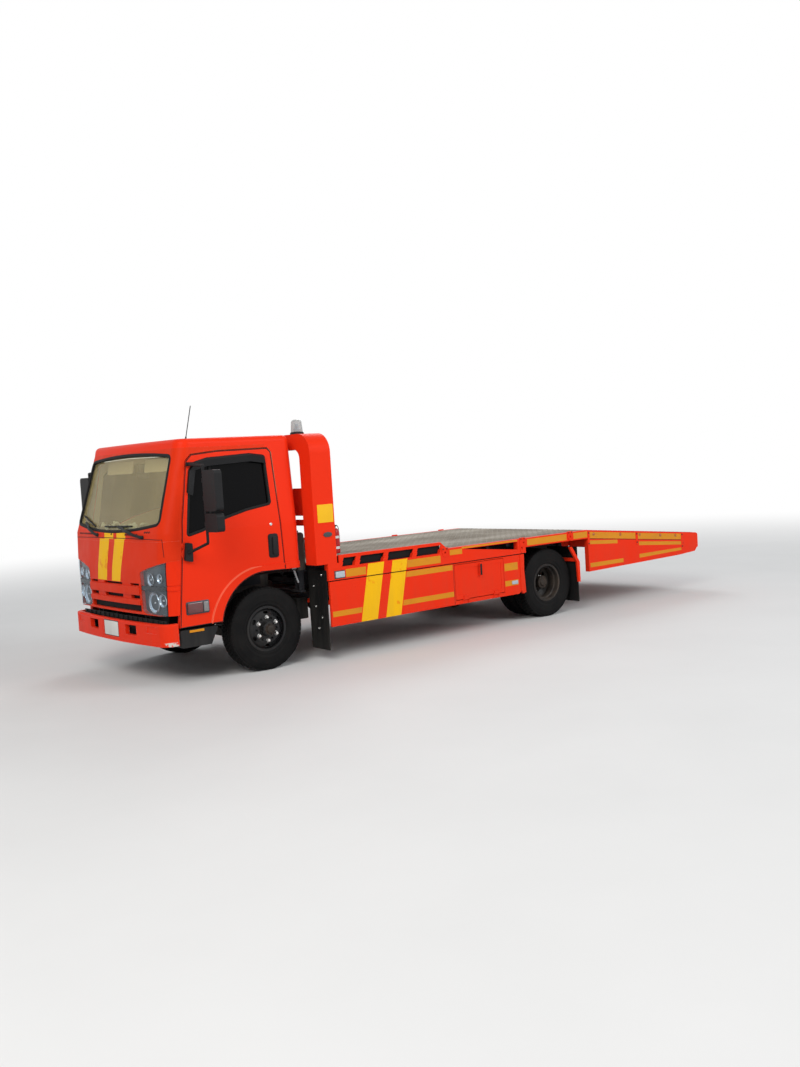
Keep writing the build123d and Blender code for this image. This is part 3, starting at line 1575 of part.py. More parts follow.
with BuildPart() as locker_door:
    door_x = (locker_x[0] + locker_gap, locker_x[1] - locker_gap)
    door_z = (locker_hinge[1], locker_z[1] - locker_gap)
    panel = (1130, 1150)
    add(box_between(door_x, panel, door_z))
    # Pressed field in the outer face and a turned-in rim behind
    pressed_x = (door_x[0] + 40, door_x[1] - 40)
    add(box_between(pressed_x, (1146, 1160), (door_z[0] + 40, door_z[1] - 40)), mode=Mode.SUBTRACT)
    hollow_x = (door_x[0] + 12, door_x[1] - 12)
    add(box_between(hollow_x, (1120, 1140), (door_z[0] + 12, door_z[1] - 12)), mode=Mode.SUBTRACT)
    for x_mid in hinge_spots:
        with BuildSketch(Plane.YZ.offset(x_mid - 27)):
            with Locations(locker_hinge):
                Circle(hinge_barrel_radius)
        extrude(amount=54)
        add(box_between((x_mid - 27, x_mid + 27), (1149, 1160), (locker_hinge[1], locker_hinge[1] + 36)))
        with BuildSketch(Plane.YZ.offset(x_mid - 30)):
            with Locations(locker_hinge):
                Circle(hinge_pin_radius + 0.05)
        extrude(amount=60, mode=Mode.SUBTRACT)
    # Latch: a pull bar on two feet at the top of the door
    latch_x = front_axle_x - 2630
    add(box_between((latch_x - 15, latch_x + 15), (1166, 1176), (620, 762)))
    for z_low in (626, 738):
        add(box_between((latch_x - 11, latch_x + 11), (1140, 1170), (z_low, z_low + 18)))
save(locker_door.part, "locker_door_left")
save_mirrored(locker_door.part, "locker_door_right")

# Guards: a stiff panel behind each front wheel and a flap behind the rear wheels
with BuildPart() as guard:
    front_guard = (
        (820, 118),
        (812, 500),
        (820, 905),
        (1128, 905),
        (1128, 780),
        (1120, 112),
    )
    guard_x = guard_seat_x + seat_gap
    add(front_prism(front_guard, guard_x, guard_x + 8, 10))
    for y_mid, z_mid in ((916, 743), (1035, 435), (970, 325), (1060, 860)):
        with BuildSketch(Plane.YZ.offset(guard_x)):
            with Locations((y_mid, z_mid)):
                Circle(13)
        extrude(amount=16)
    flap = ((640, 125), (640, 780), (1118, 780), (1118, 120))
    flap_x = flap_bearer_x - 15 - seat_gap
    add(front_prism(flap, flap_x - 8, flap_x, 12))
with BuildPart() as mud_guards:
    add(guard.part)
    mirror(guard.part, about=Plane.XZ)
save(mud_guards.part, "mud_guards")
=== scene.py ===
import math

import bmesh
import bpy
import numpy as np
from bpy.props import FloatProperty, FloatVectorProperty, IntProperty, PointerProperty
from bpy.types import Operator, Panel, PropertyGroup
from mathutils import Matrix, Vector
from mathutils.bvhtree import BVHTree


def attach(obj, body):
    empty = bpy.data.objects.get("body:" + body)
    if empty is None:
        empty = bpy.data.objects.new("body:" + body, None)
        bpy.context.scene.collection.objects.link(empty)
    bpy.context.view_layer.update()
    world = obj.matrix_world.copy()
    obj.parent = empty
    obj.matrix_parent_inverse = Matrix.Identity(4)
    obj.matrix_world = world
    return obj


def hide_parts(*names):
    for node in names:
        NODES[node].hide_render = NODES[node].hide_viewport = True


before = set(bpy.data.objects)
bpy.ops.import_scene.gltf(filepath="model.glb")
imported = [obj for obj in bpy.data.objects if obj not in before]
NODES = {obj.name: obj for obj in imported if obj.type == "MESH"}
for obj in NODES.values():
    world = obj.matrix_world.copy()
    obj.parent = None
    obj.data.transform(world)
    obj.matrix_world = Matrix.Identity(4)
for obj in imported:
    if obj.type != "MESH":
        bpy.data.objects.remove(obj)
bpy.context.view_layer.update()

bl_info = {
    "name": "Flatbed recovery truck",
    "version": (1, 0, 0),
    "blender": (4, 5, 0),
    "location": "3D View > Sidebar > Truck",
    "description": "Paints and dresses a flatbed recovery truck over its packed solids",
    "category": "Object",
}

# Places that the pieces share, in metres
LENGTH = 7.830
FRONT_AXLE = LENGTH / 2 - 1.165
REAR_AXLE = FRONT_AXLE - 3.815
AXLE_Z = 0.400
DECK_TOP = 0.965
ARCH_TOP = 2.2502
TAIL_START, TAIL_RUN = -4.450, 2.185
TAIL_DROP = 0.220
STUD_CIRCLE = 0.111
FRONT_TYRE_Y, REAR_TYRE_Y = 0.833, (0.700, 0.950)
SIDE_Y = 1.150
# The two yellow stripes on the side: front and rear edge at one height, and how they lean
STRIPE_Z, STRIPE_LEAN = 0.35, -0.223
FRONT_STRIPE, REAR_STRIPE = (-1.177, -0.970), (-1.486, -1.287)
# Profile of a rivet's head as (out, radius)
RIVET = ((-0.0005, 0.0065), (0.0012, 0.0062), (0.0030, 0.0040), (0.0036, 0.0))


# Shader maths

def _calc(operation, swapped=False):
    """Method that adds one math node."""
    def run(self, *others):
        values = [*others, self] if swapped else [self, *others]
        return self.book.node("ShaderNodeMath", {"operation": operation}, values)
    return run


class Value:
    """A socket that takes part in shader arithmetic."""
    __add__ = __radd__ = _calc("ADD")
    __mul__ = __rmul__ = _calc("MULTIPLY")
    __sub__ = _calc("SUBTRACT")
    __rsub__ = _calc("SUBTRACT", swapped=True)
    __truediv__ = _calc("DIVIDE")
    __pow__ = _calc("POWER")
    __gt__ = _calc("GREATER_THAN")
    __lt__ = _calc("LESS_THAN")
    min = _calc("MINIMUM")
    max = _calc("MAXIMUM")
    abs = _calc("ABSOLUTE")
    sin = _calc("SINE")

    def __init__(self, book, socket):
        self.book = book
        self.socket = socket

    def clamp(self):
        """The value held between nought and one."""
        held = self + 0.0
        held.socket.node.use_clamp = True
        return held

    def between(self, low, high):
        """One inside the band, nought outside."""
        return (self > low) * (self < high)

    def ramp(self, low, high):
        """Nought below low, one above high, smooth between."""
        return self.book.node(
            "ShaderNodeMapRange",
            {"interpolation_type": "SMOOTHSTEP"},
            {"Value": self, "From Min": low, "From Max": high},
        )


class Finish:
    """A material under construction."""

    def __init__(self, name):
        self.material = bpy.data.materials.new(name)
        self.material.use_nodes = True
        self.tree = self.material.node_tree
        self.tree.nodes.clear()
        self.out = self.tree.nodes.new("ShaderNodeOutputMaterial")
        self.place = self.node("ShaderNodeTexCoord", {}, {}, "Object")
        split = self.tree.nodes.new("ShaderNodeSeparateXYZ")
        self.tree.links.new(self.place.socket, split.inputs[0])
        self.x, self.y, self.z = (Value(self, split.outputs[i]) for i in range(3))

    def node(self, kind, settings, inputs, output=0):
        made = self.tree.nodes.new(kind)
        for key, value in settings.items():
            if key == "ramp":
                stops = made.color_ramp.elements
                while len(stops) < len(value):
                    stops.new(0.5)
                for stop, (where, colour) in zip(stops, value):
                    stop.position = where
                    stop.color = (*colour, 1.0) if len(colour) == 3 else colour
            else:
                setattr(made, key, value)
        pairs = enumerate(inputs) if isinstance(inputs, (list, tuple)) else inputs.items()
        for key, value in pairs:
            self.feed(made.inputs[key], value)
        return Value(self, made.outputs[output])

    def feed(self, socket, value):
        if isinstance(value, Value):
            self.tree.links.new(value.socket, socket)
        elif isinstance(value, (tuple, list)) and len(value) == 3 and socket.type == "RGBA":
            socket.default_value = (*value, 1.0)
        else:
            socket.default_value = value

    def noise(self, scale, detail=3.0, rough=0.55, stretch=(1, 1, 1), seed=0.0):
        """Noise from nought to one about a half, in metres."""
        place = self.node(
            "ShaderNodeMapping",
            {},
            {"Vector": self.place, "Location": (seed, seed * 1.7, -seed), "Scale": stretch},
        )
        return self.node(
            "ShaderNodeTexNoise",
            {},
            {"Vector": place, "Scale": scale, "Detail": detail, "Roughness": rough},
            "Fac",
        )

    def cells(self, scale):
        """Distance to the edge of the nearest cell."""
        place = self.node("ShaderNodeMapping", {}, {"Vector": self.place})
        return self.node(
            "ShaderNodeTexVoronoi",
            {"feature": "DISTANCE_TO_EDGE"},
            {"Vector": place, "Scale": scale},
            "Distance",
        )

    def mix(self, amount, first, second):
        made = self.tree.nodes.new("ShaderNodeMix")
        made.data_type = "RGBA"
        self.feed(made.inputs[0], amount)
        self.feed(made.inputs[6], first)
        self.feed(made.inputs[7], second)
        return Value(self, made.outputs[2])

    def bump(self, height, distance, strength=1.0):
        return self.node(
            "ShaderNodeBump", {}, {"Height": height, "Distance": distance, "Strength": strength}
        )

    def edges(self, radius):
        """One along worn outer edges."""
        bevel = self.node("ShaderNodeBevel", {"samples": 4}, {"Radius": radius})
        plain = self.node("ShaderNodeNewGeometry", {}, {}, "Normal")
        dot = self.node(
            "ShaderNodeVectorMath", {"operation": "DOT_PRODUCT"}, [bevel, plain], "Value"
        )
        return (1.0 - dot).ramp(0.02, 0.25)

    def upward(self):
        """One on faces that look up."""
        normal = self.node("ShaderNodeNewGeometry", {}, {}, "Normal")
        split = self.node("ShaderNodeSeparateXYZ", {}, [normal], 2)
        return split.ramp(0.35, 0.95)

    def shader(self, kind, sockets):
        """Add a shader and return its output."""
        made = self.tree.nodes.new("ShaderNode" + kind)
        for key, value in sockets.items():
            self.feed(made.inputs[key.replace("_", " ")], value)
        return made.outputs[0]

    def blend(self, share, first, second):
        """Mix two shaders, of which the second has the share."""
        made = self.tree.nodes.new("ShaderNodeMixShader")
        self.feed(made.inputs[0], share)
        self.tree.links.new(first, made.inputs[1])
        self.tree.links.new(second, made.inputs[2])
        return made.outputs[0]

    def show(self, shader):
        """Send a shader to the surface and return the material."""
        self.tree.links.new(shader, self.out.inputs[0])
        return self.material

    def close(self, **sockets):
        """Make the surface shader and finish the material."""
        return self.show(self.shader("BsdfPrincipled", sockets))


def coat(name, colour, rough=0.35, dirt=0.35, chips=0.3, shade=0.12, coat_weight=0.0, metal=0.0,
         rust=(0.10, 0.035, 0.015), dust=(0.32, 0.26, 0.20), peel=0.15, marks=None, sheen=0.3, dents=0.0):
    """Paint or plastic with road dust low down, streaks, worn edges and small chips."""
    f = Finish(name)
    broad = f.noise(1.6, 4, 0.6, seed=1.3)
    fine = f.noise(38, 4, 0.6, seed=4.1)
    streak = f.noise(9, 4, 0.6, stretch=(1, 1, 0.12), seed=2.2)
    tone = (broad - 0.5) * shade * 2 + (fine - 0.5) * shade * 0.5
    dark = tuple(c * (1 - shade * 1.6) for c in colour)
    light = tuple(min(1.0, c * (1 + shade) + 0.01) for c in colour)
    base = f.mix((tone + 0.5).clamp(), dark, light)
    if marks:
        base = marks(f, base)
    low = 1.0 - f.z.ramp(0.25, 1.15)
    soil = ((streak - 0.36) * 1.9 * low + (broad - 0.55) * 0.7 + f.upward() * 0.18).clamp() * dirt
    base = f.mix(soil, base, dust)
    worn = f.edges(0.006) * (f.noise(60, 3, seed=7.0)).ramp(0.5, 0.62) * chips
    spots = f.noise(24, 5, 0.7, seed=9.0).ramp(0.70, 0.74) * chips * low
    bare = worn.max(spots)
    base = f.mix(bare, base, rust)
    gloss = soil * 0.45 + bare * 0.35 + (fine - 0.5) * 0.10 + rough
    height = (f.noise(420, 2, seed=3.0) - 0.5) * peel + soil * 0.4 - bare * 0.8
    extra = {"Coat_Weight": (1.0 - soil * 1.6).clamp() * (1.0 - bare) * coat_weight,
             "Coat_Roughness": 0.08} if coat_weight else {}
    return f.close(
        Base_Color=base,
        Roughness=gloss.clamp(),
        Metallic=metal,
        Normal=f.bump(height + f.noise(3.2, 2, 0.4, seed=8.0) * dents, 0.0006),
        Specular_IOR_Level=sheen,
        **extra,
    )


FINISHES = {}


def finish_of(name):
    return FINISHES[name]


def put_on(piece, name):
    """Give a piece one of the finishes."""
    piece.data.materials.clear()
    piece.data.materials.append(finish_of(name))


# The record's slot that each finish belongs to
SLOTS = {finish: slot for slot, finishes in (
    ("amber", ("beacon_clear", "tape")),
    ("beige_trim", ("beige", "paper")),
    ("black_plastic", ("black", "deep_black", "flap", "gloss_black", "grey", "lamp_grey", "seal")),
    ("body_paint", ("arch", "body", "side")),
    ("cast_metal", ("hub",)),
    ("chassis_paint", ("chassis", "olive")),
    ("deck_steel", ("deck_bars",)),
    ("glass", ("mirror",)),
    ("lamp_clear", ("clear_lens", "grey_lens", "pale_lens", "reflector")),
    ("lamp_red", ("red", "red_lens", "side_red")),
    ("polished_rod", ("bar_grey", "nut", "rope", "steel")),
    ("seat_fabric", ("cloth",)),
    ("tyre_rubber", ("rubber",)),
) for finish in finishes}


# Mesh helpers

def new_piece(name, bm, finish, body, smooth=35, slot=None):
    """Turn a bmesh into a finished piece that rides on a body."""
    bmesh.ops.remove_doubles(bm, verts=bm.verts, dist=1e-6)
    bmesh.ops.recalc_face_normals(bm, faces=bm.faces)
    mesh = bpy.data.meshes.new(name)
    bm.to_mesh(mesh)
    bm.free()
    piece = bpy.data.objects.new(name, mesh)
    bpy.context.scene.collection.objects.link(piece)
    put_on(piece, finish)
    if smooth:
        soften(piece, smooth)
    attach(piece, body)
    slot = slot or SLOTS.get(finish)
    return piece


def soften(piece, angle):
    """Smooth shading, kept sharp where faces meet at more than an angle."""
    mesh = piece.data
    mesh.polygons.foreach_set("use_smooth", [True] * len(mesh.polygons))
    mesh.set_sharp_from_angle(angle=math.radians(angle))


def shift(bm, by):
    """Move a whole bmesh."""
    bmesh.ops.translate(bm, vec=by, verts=bm.verts)


def walls(bm, rings, capped=False):
    """Faces between closed rings of vertices, and over the two ends."""
    for first, second in zip(rings[:-1], rings[1:]):
        n = len(first)
        for k in range(n):
            bm.faces.new((first[k], first[(k + 1) % n], second[(k + 1) % n], second[k]))
    if capped:
        bm.faces.new(rings[0][::-1])
        bm.faces.new(rings[-1])


def thick_sheet(bm, rows, thickness):
    """Faces between open rows of vertices, given a thickness."""
    for first, second in zip(rows[:-1], rows[1:]):
        for k in range(len(first) - 1):
            bm.faces.new((first[k], first[k + 1], second[k + 1], second[k]))
    bmesh.ops.recalc_face_normals(bm, faces=bm.faces)
    bmesh.ops.solidify(bm, geom=bm.faces[:], thickness=thickness)


def join(bm, other):
    """Add one bmesh to another."""
    mesh = bpy.data.meshes.new("joining")
    other.to_mesh(mesh)
    other.free()
    bm.from_mesh(mesh)
    bpy.data.meshes.remove(mesh)


def block(bm, low, high, bevel=0.0):
    """Add a block between two corners, with rounded edges."""
    part = bmesh.new()
    bmesh.ops.create_cube(part, size=1.0)
    size = Vector(high) - Vector(low)
    mid = (Vector(high) + Vector(low)) / 2
    bmesh.ops.scale(part, vec=size, verts=part.verts)
    if bevel:
        bmesh.ops.bevel(part, geom=part.edges[:], offset=min(bevel, min(size) * 0.49),
                        segments=2, affect="EDGES", profile=0.6)
    shift(part, mid)
    join(bm, part)


def turned(bm, profile, origin, axis, steps=48, closed=False):
    """Spin a profile of (along, radius) pairs about an axis through a point."""
    axis = Vector(axis).normalized()
    side = axis.orthogonal().normalized()
    third = axis.cross(side)
    origin = Vector(origin)
    rings = []
    for along, radius in profile:
        if radius < 1e-7:
            rings.append([bm.verts.new(origin + axis * along)])
            continue
        ring = []
        for i in range(steps):
            a = 2 * math.pi * i / steps
            spoke = (side * math.cos(a) + third * math.sin(a)) * radius
            ring.append(bm.verts.new(origin + axis * along + spoke))
        rings.append(ring)
    pairs = list(zip(rings[:-1], rings[1:]))
    if closed and len(rings[0]) > 1 and len(rings[-1]) > 1:
        pairs.append((rings[-1], rings[0]))
    for first, second in pairs:
        for i in range(steps):
            j = (i + 1) % steps
            quad = []
            for v in (first[i % len(first)], first[j % len(first)], second[j % len(second)],
                      second[i % len(second)]):
                if v not in quad:
                    quad.append(v)
            if len(quad) > 2:
                bm.faces.new(quad)


def tube(bm, points, radius, steps=10, ends=True):
    """Round bar along a list of points."""
    points = [Vector(p) for p in points]
    rings = []
    up = None
    for i, point in enumerate(points):
        ahead = points[min(i + 1, len(points) - 1)] - points[max(i - 1, 0)]
        ahead.normalize()
        if up is None:
            up = ahead.orthogonal().normalized()
        up = (up - ahead * up.dot(ahead)).normalized()
        side = ahead.cross(up)
        r = radius[i] if isinstance(radius, (list, tuple)) else radius
        rings.append([
            bm.verts.new(point + (up * math.cos(a) + side * math.sin(a)) * r)
            for a in (2 * math.pi * k / steps for k in range(steps))
        ])
    walls(bm, rings, ends)


def rounded_path(points, radius, steps=6):
    """Points of a path with its corners rounded."""
    points = [Vector(p) for p in points]
    out = [points[0]]
    for before, corner, after in zip(points[:-2], points[1:-1], points[2:]):
        a = corner + (before - corner).normalized() * min(radius, (before - corner).length / 2)
        b = corner + (after - corner).normalized() * min(radius, (after - corner).length / 2)
        for i in range(steps + 1):
            t = i / steps
            out.append(a.lerp(corner, t).lerp(corner.lerp(b, t), t))
    out.append(points[-1])
    return out


def outline_plate(bm, points, low, high, axis, bevel=0.0):
    """Plate of a flat outline between two values along an axis: 0, 1 or 2."""
    part = bmesh.new()
    others = [i for i in range(3) if i != axis]

    def place(p, depth):
        spot = [0, 0, 0]
        spot[axis] = depth
        spot[others[0]], spot[others[1]] = p
        return part.verts.new(spot)

    first = [place(p, low) for p in points]
    second = [place(p, high) for p in points]
    part.faces.new(first)
    part.faces.new(second[::-1])
    n = len(points)
    for i in range(n):
        part.faces.new((first[i], second[i], second[(i + 1) % n], first[(i + 1) % n]))
    bmesh.ops.recalc_face_normals(part, faces=part.faces)
    if bevel:
        rims = [e for e in part.edges if len(e.link_faces) == 2 and e.calc_face_angle() > 0.6]
        bmesh.ops.bevel(part, geom=rims, offset=bevel, segments=2, affect="EDGES", profile=0.6)
    join(bm, part)


def round_corners(points, radius, steps=5):
    """Flat outline with rounded corners."""
    out = []
    n = len(points)
    for i in range(n):
        before, corner, after = (Vector(points[k % n]) for k in (i - 1, i, i + 1))
        reach = min(radius, (before - corner).length * 0.45, (after - corner).length * 0.45)
        a = corner + (before - corner).normalized() * reach
        b = corner + (after - corner).normalized() * reach
        for k in range(steps + 1):
            t = k / steps
            out.append(tuple(a.lerp(corner, t).lerp(corner.lerp(b, t), t)))
    return out


def rectangle(a0, a1, b0, b1, radius):
    """Upright rectangle with rounded corners."""
    return round_corners([(a0, b0), (a1, b0), (a1, b1), (a0, b1)], radius)


def side_plate(bm, outline, sign, inner, outer, bevel=0.0):
    """Plate of an (x, z) outline between two distances from the truck's middle plane."""
    low, high = sorted((sign * inner, sign * outer))
    outline_plate(bm, outline, low, high, 1, bevel)


def both_sides(make, *rest):
    """Call a maker for the left and the right side."""
    for word, sign in (("left", 1), ("right", -1)):
        make(word, sign, *rest)


def skin_tree(*names):
    """Tree for finding the surface of CAD nodes."""
    verts, faces = [], []
    for name in names:
        mesh = NODES[name].data
        base = len(verts)
        verts += [v.co.copy() for v in mesh.vertices]
        faces += [[base + i for i in p.vertices] for p in mesh.polygons]
    return BVHTree.FromPolygons(verts, faces)


# Finishes

ORANGE = (0.80, 0.026, 0.002)
YELLOW = (0.86, 0.47, 0.008)
AMBER_TAPE = (0.66, 0.250, 0.010)


def slanted(f, at, z0, low, high, slope):
    """Band between two y or x values at height z0, leaning with height."""
    lean = (f.z - z0) * slope
    return (at - lean).between(low, high)


def front_stripes(f, base):
    """Two yellow stripes up the front panel."""
    up = f.z - 0.945
    lid = f.z < 1.352
    first = (f.y - up * 0.241).between(-0.352, -0.134)
    second = (f.y > up * 0.265 - 0.022) * (f.y < up * 0.320 + 0.160)
    cowl = (f.y.between(-0.143, 0.058) + f.y.between(0.129, 0.310)) * (1.0 - lid)
    mask = ((first + second) * lid + cowl).clamp() * (f.z > 0.952) * (f.x > FRONT_AXLE + 0.90)
    rub = f.noise(5, 4, seed=6.0).ramp(0.60, 0.64) * 0.35
    return f.mix(mask * (1.0 - rub), base, YELLOW)


def side_stripes(f, base):
    """Two yellow stripes across each side of the bed and its skirt."""
    at = f.x - FRONT_AXLE
    first = slanted(f, at, STRIPE_Z, *FRONT_STRIPE, STRIPE_LEAN)
    second = slanted(f, at, STRIPE_Z, *REAR_STRIPE, STRIPE_LEAN)
    mask = (first + second).clamp() * (f.y.abs() > 1.125) * (f.z < 0.918)
    rub = f.noise(7, 4, seed=5.0).ramp(0.62, 0.66) * 0.4
    return f.mix(mask * (1.0 - rub), base, YELLOW)


def cab_lining(f, base):
    """Beige trim on the faces of the cab's panels that look inwards."""
    normal = f.node("ShaderNodeTexCoord", {}, {}, "Normal")
    split = f.tree.nodes.new("ShaderNodeSeparateXYZ")
    f.tree.links.new(normal.socket, split.inputs[0])
    nx, ny, nz = (Value(f, split.outputs[i]) for i in range(3))
    px, py, pz = f.x - (FRONT_AXLE + 0.32), f.y, f.z - 1.62
    inwards = (nx * px + ny * py + nz * pz) < -0.12
    inside = (f.z > 1.02) * (f.y.abs() < 0.972) * (f.x > FRONT_AXLE - 0.392) * (f.z < 2.235)
    return f.mix(inwards * inside, base, (0.48, 0.41, 0.28))


def front_marks(f, base):
    return cab_lining(f, front_stripes(f, base))


def door_lining_and_ridge_highlight(f, base):
    """Lining inside, and a painted highlight: a paler line along the arch's ridge."""
    (ax, az), r = circle_of((0.627, 0.544), (0.442, 0.870), (0.060, 1.018))
    x, z = f.x - (FRONT_AXLE + ax), f.z - az
    away = ((x * x + z * z) ** 0.5 - r).abs()
    # Painted highlight: a pale orange line along the ridge of the wheel arch
    line = (1.0 - away.ramp(0.004, 0.011)) * (f.z < 1.016) * (f.x > FRONT_AXLE + 0.06) * (f.y.abs() > 0.99)
    return cab_lining(f, f.mix(line * 0.55, base, (0.90, 0.22, 0.12)))


def bumper_marks(f, base):
    """Paint scraped off at the bumper's corners."""
    corner = f.y.abs().ramp(0.90, 0.955) * (f.z > 0.605).max(f.z < 0.428)
    scrape = f.noise(17, 5, 0.7, seed=12.0).ramp(0.50, 0.54) * corner
    return f.mix(scrape, base, (0.62, 0.57, 0.52))


def circle_of(a, b, c):
    """Middle and radius of the circle through three flat points."""
    (ax, ay), (bx, by), (cx, cy) = a, b, c
    d = 2 * (ax * (by - cy) + bx * (cy - ay) + cx * (ay - by))
    aa, bb, cc = (x * x + y * y for x, y in (a, b, c))
    ux = (aa * (by - cy) + bb * (cy - ay) + cc * (ay - by)) / d
    uy = (aa * (cx - bx) + bb * (ax - cx) + cc * (bx - ax)) / d
    return (ux, uy), math.hypot(ax - ux, ay - uy)


def make_finishes(colours):
    """Build every material of the truck."""
    body = tuple(colours.body)
    dark = tuple(colours.chassis)
    pale = (0.62, 0.57, 0.52)
    grime = (0.150, 0.095, 0.060)
    black = {"rust": (0.05, 0.045, 0.04), "dust": (0.085, 0.078, 0.068), "sheen": 0.12}
    FINISHES.update(
        body=coat("body orange", body, 0.36, 0.14, 0.15, 0.07, 0.0, sheen=0.06, dust=grime, marks=door_lining_and_ridge_highlight),
        # Painted shade: the front wears a darker, yellower copy of the body paint, standing in for the softer
        # light on that face
        front=coat("front orange with painted shade", tuple(c * k for c, k in zip(body, (0.86, 1.10, 1.0))), 0.40, 0.12, 0.22,
                   0.08, 0.0, marks=front_marks, sheen=0.05, dents=30.0, rust=pale, dust=grime),
        bumper=coat("bumper orange", body, 0.38, 0.20, 0.70, 0.08, 0.0, sheen=0.06, dents=8.0,
                    marks=bumper_marks, rust=pale, dust=grime),
        side=coat("side orange", body, 0.42, 0.22, 0.35, 0.09, 0.0, marks=side_stripes, sheen=0.06,
                  dents=10.0, dust=grime),
        arch=coat("arch orange", body, 0.44, 0.18, 0.25, 0.09, 0.0, sheen=0.06, dust=grime),
        chassis=coat("chassis black", dark, 0.60, 0.70, 0.35, 0.25, dust=(0.11, 0.092, 0.075), sheen=0.15),
        axle=coat("axle black", (0.016, 0.016, 0.018), 0.6, 0.80, 0.5, 0.3, dust=(0.10, 0.085, 0.07),
                  sheen=0.15),
        cast=coat("cast metal", (0.060, 0.058, 0.055), 0.62, 0.9, 0.5, 0.35, metal=0.4, peel=0.6),
        black=coat("black plastic", (0.010, 0.010, 0.011), 0.50, 0.35, 0.0, 0.2, peel=0.45, **black),
        gloss_black=coat("gloss black", (0.006, 0.006, 0.007), 0.18, 0.20, 0.0, 0.1, **black),
        # Painted shade: a blacker black for the grille backing and the strip behind the rail's slots,
        # standing in for shadow
        deep_black=coat("shadowed plastic", (0.004, 0.004, 0.0045), 0.70, 0.25, 0.0, 0.2, **black),
        rim=coat("wheel black", (0.006, 0.006, 0.007), 0.26, 0.30, 0.30, 0.2, 0.25, **black),
        rear_rim=coat("rear wheel black", (0.010, 0.009, 0.009), 0.45, 0.70, 0.45, 0.25, 0.05,
                      rust=(0.16, 0.07, 0.035), dust=(0.13, 0.10, 0.075), sheen=0.15),
        beige=coat("beige plastic", (0.50, 0.42, 0.28), 0.58, 0.10, 0.0, 0.08, peel=0.5, sheen=0.15),
        grip=coat("wheel grip", (0.115, 0.095, 0.065), 0.45, 0.20, 0.0, 0.20, peel=0.4, sheen=0.2),
        grey=coat("grey plastic", (0.060, 0.064, 0.070), 0.45, 0.20, 0.0, 0.12, peel=0.35, sheen=0.15),
        bar_grey=coat("grey bar", (0.30, 0.31, 0.32), 0.42, 0.35, 0.45, 0.12),
        olive=coat("olive tank", (0.052, 0.054, 0.046), 0.50, 0.60, 0.35, 0.25, sheen=0.15),
        red=coat("bottle red", (0.42, 0.005, 0.008), 0.24, 0.22, 0.2, 0.08, 0.15, sheen=0.2),
        white=coat("white plate", (0.70, 0.70, 0.67), 0.42, 0.35, 0.0, 0.06, sheen=0.2),
        yellow=coat("yellow sign", YELLOW, 0.45, 0.25, 0.2, 0.10, sheen=0.12),
        rubber=rubber("tyre rubber"),
        seal=coat("seal rubber", (0.006, 0.006, 0.006), 0.62, 0.25, 0.0, 0.15, peel=0.3, **black),
        flap=coat("flap rubber", (0.007, 0.007, 0.007), 0.50, 0.45, 0.0, 0.25, peel=0.3, **black),
        steel=steel("bright steel", (0.62, 0.61, 0.59), 0.26),
        chrome=steel("polished rod", (0.80, 0.80, 0.80), 0.10),
        deck=deck_steel("deck steel"),
        tape=tape("amber tape", AMBER_TAPE),
        # Painted reflection: the windscreen's tan surface share stands in for a reflection on the glass
        glass=glass("windscreen glass with painted reflection", (0.66, 0.52, 0.25), 0.17, 0.035, (0.96, 0.97, 0.90), 1.0).material,
        tinted=glass("tinted glass", (0.002, 0.002, 0.0025), 0.95, 0.007, (0.1, 0.1, 0.1), 0.03,
                     0.05).material,
        lens=lamp_glass(body).material,
        pale_lens=lens("pale lens", (0.45, 0.52, 0.58)),
        beacon_clear=glass("beacon dome", (0.46, 0.47, 0.46), 0.42, 0.05, (0.80, 0.82, 0.82)).material,
        deck_bars=steel("worn deck bars", (0.235, 0.21, 0.17), 0.50),
        nut=steel("wheel nut plate", (0.80, 0.79, 0.77), 0.18),
        hub=coat("hub casting", (0.030, 0.024, 0.020), 0.50, 0.7, 0.5, 0.3, metal=0.3, peel=0.5,
                 dust=(0.12, 0.07, 0.04), sheen=0.2),
        lamp_grey=coat("lamp surround", (0.045, 0.058, 0.070), 0.30, 0.05, 0.0, 0.25, metal=0.4),
        mirror=steel("mirror glass", (0.72, 0.74, 0.76), 0.04),
        reflector=steel("lamp reflector", (0.46, 0.54, 0.62), 0.20),
        amber=lens("amber lens", (0.85, 0.16, 0.004)),
        red_lens=lens("red lens", (0.42, 0.006, 0.008)),
        side_red=lens("side lamp red", (0.115, 0.004, 0.004)),
        grey_lens=lens("grey lens", (0.20, 0.19, 0.19)),
        clear_lens=lens("clear lens", (0.55, 0.57, 0.58)),
        cloth=cloth("seat cloth", (0.33, 0.27, 0.20)),
        paper=coat("papers", (0.60, 0.64, 0.52), 0.7, 0.1, 0.0, 0.2),
        rope=cable("steel rope"),
    )


def rubber(name):
    """Tyre rubber with dusty side walls and a greyed tread."""
    f = Finish(name)
    broad = f.noise(7, 4, seed=1.0)
    fine = f.noise(120, 3, seed=2.0)
    dusty = (broad - 0.35).clamp() * 0.55 + (fine - 0.5) * 0.10
    base = f.mix(dusty.clamp() * 0.6, (0.0055, 0.0055, 0.0058), (0.050, 0.045, 0.040))
    height = f.noise(260, 3, seed=5.0) * 0.6 + broad * 0.4
    return f.close(Base_Color=base, Roughness=(broad * 0.25 + 0.52).clamp(), Normal=f.bump(height, 0.0005),
                   Specular_IOR_Level=0.08)


def steel(name, colour, rough):
    """Bare or plated steel with smears and fine scratches."""
    f = Finish(name)
    smear = f.noise(11, 4, seed=3.0)
    scratch = f.noise(160, 2, stretch=(1, 0.06, 1), seed=6.0)
    soil = (smear - 0.52).clamp() * 1.4
    base = f.mix(soil.clamp(), colour, tuple(c * 0.45 for c in colour))
    return f.close(
        Base_Color=base,
        Metallic=1.0,
        Roughness=(soil * 0.5 + (scratch - 0.5) * 0.12 + rough).clamp(),
        Normal=f.bump(scratch, 0.0002, 0.5),
    )


